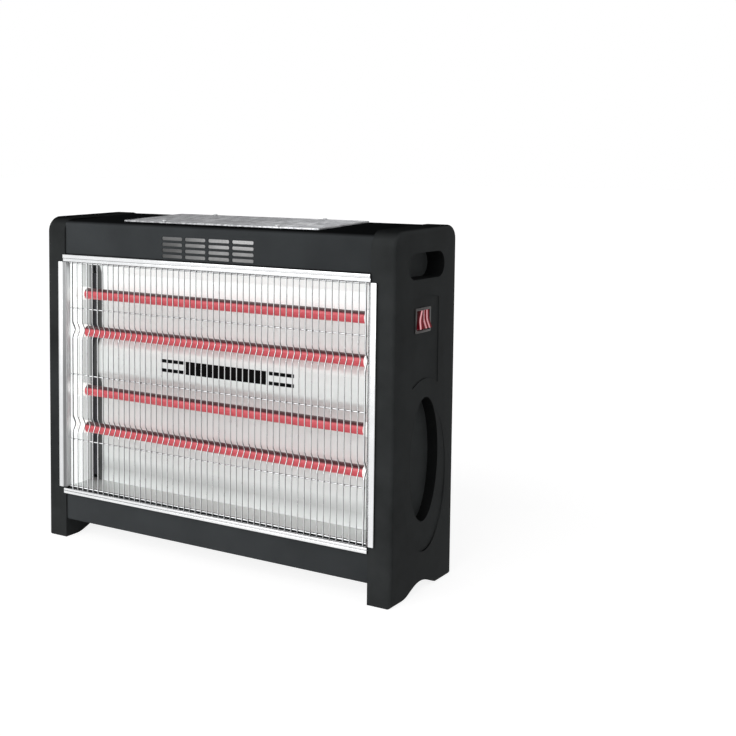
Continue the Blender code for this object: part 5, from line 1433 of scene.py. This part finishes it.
class HEATER_OT_guard(bpy.types.Operator):
    """Make the wire guard and the four chromed strips round it"""
    bl_idname = "heater.guard"
    bl_label = "Guard and strips"

    def execute(self, context):
        fit(self.wires(context.scene.heater_guard), drawn_wire(), "chromed_steel", "guard")
        plain = chrome()
        finishes = {"top": plain, "bottom": plain, "left": chrome_with_painted_band(), "right": plain}
        for label, finish in finishes.items():
            strip = node_copy(f"trim_{label}", f"strip_{label}", STRIP_EDGE)
            fit(strip, finish, "chromed_steel", f"trim_{label}")
        return {"FINISHED"}

    def upright_wire(self, name, settings, x, y, radius, resolution):
        """An upright wire with its crimps, which reach in towards the tubes."""
        corners = [(y, GUARD_LOW, 0.0)]
        for level in CRIMP_LEVELS:
            for rise, reach in ((-CRIMP_HALF, 0.0), (0.0, settings.crimp), (CRIMP_HALF, 0.0)):
                corners.append((y + reach, level + rise, settings.crimp_round))
        corners.append((y, GUARD_HIGH, 0.0))
        spots = [(x, point.x, point.y) for point in rounded(corners, 4)]
        return wire(name, spots, radius, resolution)

    def wires(self, settings):
        rail_y = LIP_FACE - GUARD_GAP - settings.rail
        wire_y = rail_y - settings.rail - settings.wire + WIRE_SINK
        stout_y = wire_y + settings.rail - settings.wire
        cross_y = wire_y + settings.wire + GUARD_GAP + settings.cross
        half = settings.pitch * (WIRE_COUNT + 1) / 2
        thin = self.upright_wire("guard_wire", settings, -half + settings.pitch, wire_y, settings.wire, 3)
        parts = [repeated(thin, WIRE_COUNT, (settings.pitch, 0.0, 0.0))]
        for side, label in SIDES:
            name = f"guard_end_{label}"
            parts.append(self.upright_wire(name, settings, side * half, stout_y, settings.rail, 4))
        reach = CHEEK_INNER - BAR_END_GAP
        bars = [(rail_y, level, settings.rail) for level in RAIL_LEVELS]
        bars += [(cross_y, level, settings.cross) for level in CROSS_LEVELS]
        for y, level, radius in bars:
            parts.append(wire("guard_bar", [(x, y, level) for x in (-reach, 0.0, reach)], radius, 4))
        return smooth(joined("guard_wires", parts), 50)


# The glowing cavity

FLOOR_REAR = REFLECTOR_Y + 5 * MM
FLOOR_FRONT = LIP_FACE - 0.6 * MM
FLOOR_FALL = 1.5 * MM
SHEET_GAP = 0.3 * MM
ROOF_REACH = 46.5 * MM
HUMP_HALF, HUMP_FOOT = 20 * MM, 40 * MM
BAR_SLOT_START, BAR_SLOT_END, BAR_SLOT_HEIGHT = 4.5 * MM, 47 * MM, 5.2 * MM
CHEEK_HOLE = 6.8 * MM


class HEATER_OT_reflector(bpy.types.Operator):
    """Make the polished reflector, floor, cheeks, heat shield and the dark bar"""
    bl_idname = "heater.reflector"
    bl_label = "Reflector"

    def execute(self, context):
        settings = context.scene.heater_reflector
        fit(self.main_sheet(settings.hump_round), satin_reflector(), "polished_sheet", "reflector")
        ends = [(y, self.floor_top(y), 0.0) for y in (FLOOR_REAR, FLOOR_FRONT)]
        floor = folded_sheet("cavity_floor_sheet", ends, CHEEK_INNER - SHEET_GAP, BRIGHT_SHEET)
        fit(floor, satin_floor(), "polished_sheet", "cavity_floor")
        cheek_finish = satin_cheek()
        for _, label in SIDES:
            fit(self.cheek(label), cheek_finish, "polished_sheet", f"cheek_{label}")
        shield = node_copy("heat_shield", "heat_shield_sheet", 0.1 * MM)
        fit(shield, vent_shield(), "polished_sheet", "heat_shield")
        fit(self.bar(settings.badge_edge), bar_lacquer(), "badge_black", "badge_bar")
        return {"FINISHED"}

    def floor_top(self, y):
        """The height of the cavity's floor, which falls towards the front."""
        high = span("cavity_floor", 2)[1]
        return high - FLOOR_FALL * (FLOOR_REAR - y) / (FLOOR_REAR - LIP_FACE)

    def main_sheet(self, bend):
        """The reflector's section: roof, upper wall, hump behind the bar, lower wall and foot."""
        roof = OPENING_TOP - 1.5 * MM
        foot = self.floor_top(REFLECTOR_Y) + SHEET_GAP
        item = folded_sheet("reflector_sheet", (
            (REFLECTOR_Y - ROOF_REACH, roof, 0.0),
            (REFLECTOR_Y - 7 * MM, roof - 3 * MM, bend * 0.3),
            (REFLECTOR_Y, roof - 19 * MM, bend / 2),
            (REFLECTOR_Y, HUMP_Z + HUMP_FOOT, bend),
            (HUMP_Y, HUMP_Z + HUMP_HALF, bend),
            (HUMP_Y, HUMP_Z - HUMP_HALF, bend),
            (REFLECTOR_Y, HUMP_Z - HUMP_FOOT, bend),
            (REFLECTOR_Y - 1 * MM, TUBE_LEVELS[-1] - 18 * MM, bend),
            (REFLECTOR_Y + 0.5 * MM, foot + 25 * MM, bend / 2),
            (REFLECTOR_Y - 1.5 * MM, foot, 0.0),
        ), REFLECTOR_X, BRIGHT_SHEET)
        for side, _ in reversed(SIDES):
            ends = sorted((side * (BADGE_X + BAR_SLOT_START), side * (BADGE_X + BAR_SLOT_END)))
            for low in (BADGE_LOW, BADGE_HIGH - BAR_SLOT_HEIGHT):
                outline = oblong(*ends, low, low + BAR_SLOT_HEIGHT, 0.6 * MM, 3)
                cut(item, drawn("reflector_slot", outline, "Y", HUMP_Y - CUT_MARGIN, HUMP_Y + CUT_MARGIN))
        return smooth(item, 40)

    def cheek(self, label):
        low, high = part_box(f"cheek_{label}")
        item = block(f"cheek_sheet_{label}", low, high)
        for level in TUBE_LEVELS:
            ends = [(x, TUBE_Y, level) for x in (low.x - MM, high.x + MM)]
            cut(item, drum("cheek_hole", *ends, CHEEK_HOLE))
        return smooth(item, 30)

    def bar(self, edge):
        item = block("reflector_bar", *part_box("badge_bar"))
        middle_y = middle("badge_bar", 1)
        round_edges(item, lambda place: place.y < middle_y, edge, 2)
        return smooth(item, 40)


TUBE_EDGE = 0.2 * MM
CAP_SHOULDER = CAP_FACE + 15.6 * MM
CAP_OUTER, CAP_SOCKET, CAP_NECK, CAP_BORE = 9.8 * MM, 8.5 * MM, 6.5 * MM, 1.6 * MM
CAP_EDGE = 0.6 * MM
SOCKET_DEPTH = 4.3 * MM
LEFT_CAP_REACH = 5 * MM


class HEATER_OT_tubes(bpy.types.Operator):
    """Make the four glowing tubes and their ceramic end caps"""
    bl_idname = "heater.tubes"
    bl_label = "Tubes and caps"

    def execute(self, context):
        settings = context.scene.heater_tubes
        glass = red_glass()
        white = ceramic()
        for index, level in enumerate(TUBE_LEVELS, 1):
            start = (0.0, TUBE_Y, level)
            tube = turned(f"glass_tube_{index}", self.tube_profile(settings), start, (1, 0, 0), 40)
            fit(smooth(tube, 40), glass, "glowing_quartz", f"quartz_tube_{index}")
            for side, label in SIDES:
                cap = turned(f"tube_cap_{index}_{label}", self.cap_profile(side), start, (side, 0, 0), 40)
                fit(smooth(cap, 35), white, "white_ceramic", f"end_cap_{index}_{label}")
        return {"FINISHED"}

    def tube_profile(self, settings):
        """Half the tube's section, open at both ends."""
        outer = settings.radius
        inner = outer - settings.wall
        return (
            (inner, -TUBE_X), (outer - TUBE_EDGE, -TUBE_X), (outer, -TUBE_X + TUBE_EDGE),
            (outer, TUBE_X - TUBE_EDGE), (outer - TUBE_EDGE, TUBE_X), (inner, TUBE_X),
        )

    def cap_profile(self, side):
        """Half the cap's section, from the tube's socket to the wire's bore at the far end."""
        face = CAP_FACE - (LEFT_CAP_REACH if side < 0 else 0.0)
        flare = 0.3 * MM
        return (
            (CAP_SOCKET, face + flare), (CAP_SOCKET + flare, face),
            (CAP_OUTER - CAP_EDGE, face), (CAP_OUTER, face + CAP_EDGE),
            (CAP_OUTER, CAP_SHOULDER - CAP_EDGE), (CAP_OUTER - CAP_EDGE, CAP_SHOULDER),
            (CAP_NECK, CAP_SHOULDER), (CAP_NECK, CAP_END - CAP_EDGE),
            (CAP_NECK - CAP_EDGE, CAP_END), (CAP_BORE, CAP_END),
            (CAP_BORE, face + SOCKET_DEPTH), (CAP_SOCKET, face + SOCKET_DEPTH),
        )


# The switch

class HEATER_OT_switch(bpy.types.Operator):
    """Make the switch's housing and its two lit rockers"""
    bl_idname = "heater.switch"
    bl_label = "Switch"

    def execute(self, context):
        settings = context.scene.heater_switch
        housing = node_copy("switch_housing", "switch_bezel", settings.bezel_edge, 40, 3)
        fit(housing, switch_black(), "switch_black", "switch_housing")
        for index in (1, 2):
            rocker = node_copy(f"rocker_{index}", f"lit_rocker_{index}", settings.rocker_edge, 40, 3)
            fit(rocker, red_with_painted_highlights(index), "switch_red", f"rocker_{index}", body=f"rocker_{index}_body")
        return {"FINISHED"}


# What shows at the back, and what is inside

class HEATER_OT_fittings(bpy.types.Operator):
    """Make the rear screws and the cord gland, and finish the parts inside"""
    bl_idname = "heater.fittings"
    bl_label = "Fittings"

    def execute(self, context):
        fit_screws("rear_screw", "back_screw", 3, 1, 1.6 * MM, screw_zinc("rear_screw_zinc"))
        black = black_nylon()
        gland = node_copy("cord_gland", "gland_body", 0.4 * MM, 35)
        fit(gland, black, "black_plastic", "cord_gland")
        sheath = woven_sheath()
        plated = zinc("zinc_plated_steel", (0.72, 0.73, 0.74))
        dark = zinc("dark_strap_steel", (0.10, 0.10, 0.11), (0.4, 0.55))
        numbers = (1, 2, 3, 4)
        for finish, nodes in (
            (plated, ("end_plate_right", "end_plate_left", "switch_axle")),
            (dark, ("reflector_bracket_right", "reflector_bracket_left")),
            (black, ("tilt_switch", "lead_grommet")),
            (ceramic(), ("terminal_block",)),
            (grey_nylon(), ("thermal_cutout",)),
            (heating_wire(), [f"heating_coil_{number}" for number in numbers]),
            (sheath, [f"supply_lead_{number}" for number in numbers]),
            (sheath, ("jumper_lead_upper", "jumper_lead_lower", "feed_lead")),
        ):
            for node in nodes:
                dress(node, finish)
        return {"FINISHED"}


class HEATER_PT_panel(bpy.types.Panel):
    """Lists the steps and their settings in the 3D view's sidebar"""
    bl_label = "Quartz heater"
    bl_idname = "HEATER_PT_panel"
    bl_space_type = "VIEW_3D"
    bl_region_type = "UI"
    bl_category = "Quartz heater"

    def draw(self, context):
        for step, settings in STEPS:
            box = self.layout.box()
            box.operator(step.bl_idname)
            if settings:
                for name in SETTINGS[settings].__annotations__:
                    box.prop(getattr(context.scene, settings), name)


SETTINGS = {
    "heater_stage": HeaterStageSettings,
    "heater_panels": HeaterPanelSettings,
    "heater_casing": HeaterCasingSettings,
    "heater_mesh": HeaterMeshSettings,
    "heater_guard": HeaterGuardSettings,
    "heater_reflector": HeaterReflectorSettings,
    "heater_tubes": HeaterTubeSettings,
    "heater_switch": HeaterSwitchSettings,
}
STEPS = (
    (HEATER_OT_stage, "heater_stage"),
    (HEATER_OT_side_panels, "heater_panels"),
    (HEATER_OT_casing, "heater_casing"),
    (HEATER_OT_mesh_plate, "heater_mesh"),
    (HEATER_OT_guard, "heater_guard"),
    (HEATER_OT_reflector, "heater_reflector"),
    (HEATER_OT_tubes, "heater_tubes"),
    (HEATER_OT_switch, "heater_switch"),
    (HEATER_OT_fittings, None),
)


def register():
    for name, group in SETTINGS.items():
        bpy.utils.register_class(group)
        setattr(bpy.types.Scene, name, bpy.props.PointerProperty(type=group))
    for step, _ in STEPS:
        bpy.utils.register_class(step)
    bpy.utils.register_class(HEATER_PT_panel)


def unregister():
    bpy.utils.unregister_class(HEATER_PT_panel)
    for step, _ in reversed(STEPS):
        bpy.utils.unregister_class(step)
    for name, group in reversed(SETTINGS.items()):
        delattr(bpy.types.Scene, name)
        bpy.utils.unregister_class(group)


def main():
    register()
    bpy.ops.heater.stage()
    bpy.ops.heater.side_panels()
    bpy.ops.heater.casing()
    bpy.ops.heater.mesh_plate()
    bpy.ops.heater.guard()
    bpy.ops.heater.reflector()
    bpy.ops.heater.tubes()
    bpy.ops.heater.switch()
    bpy.ops.heater.fittings()


if __name__ == "__main__":
    main()
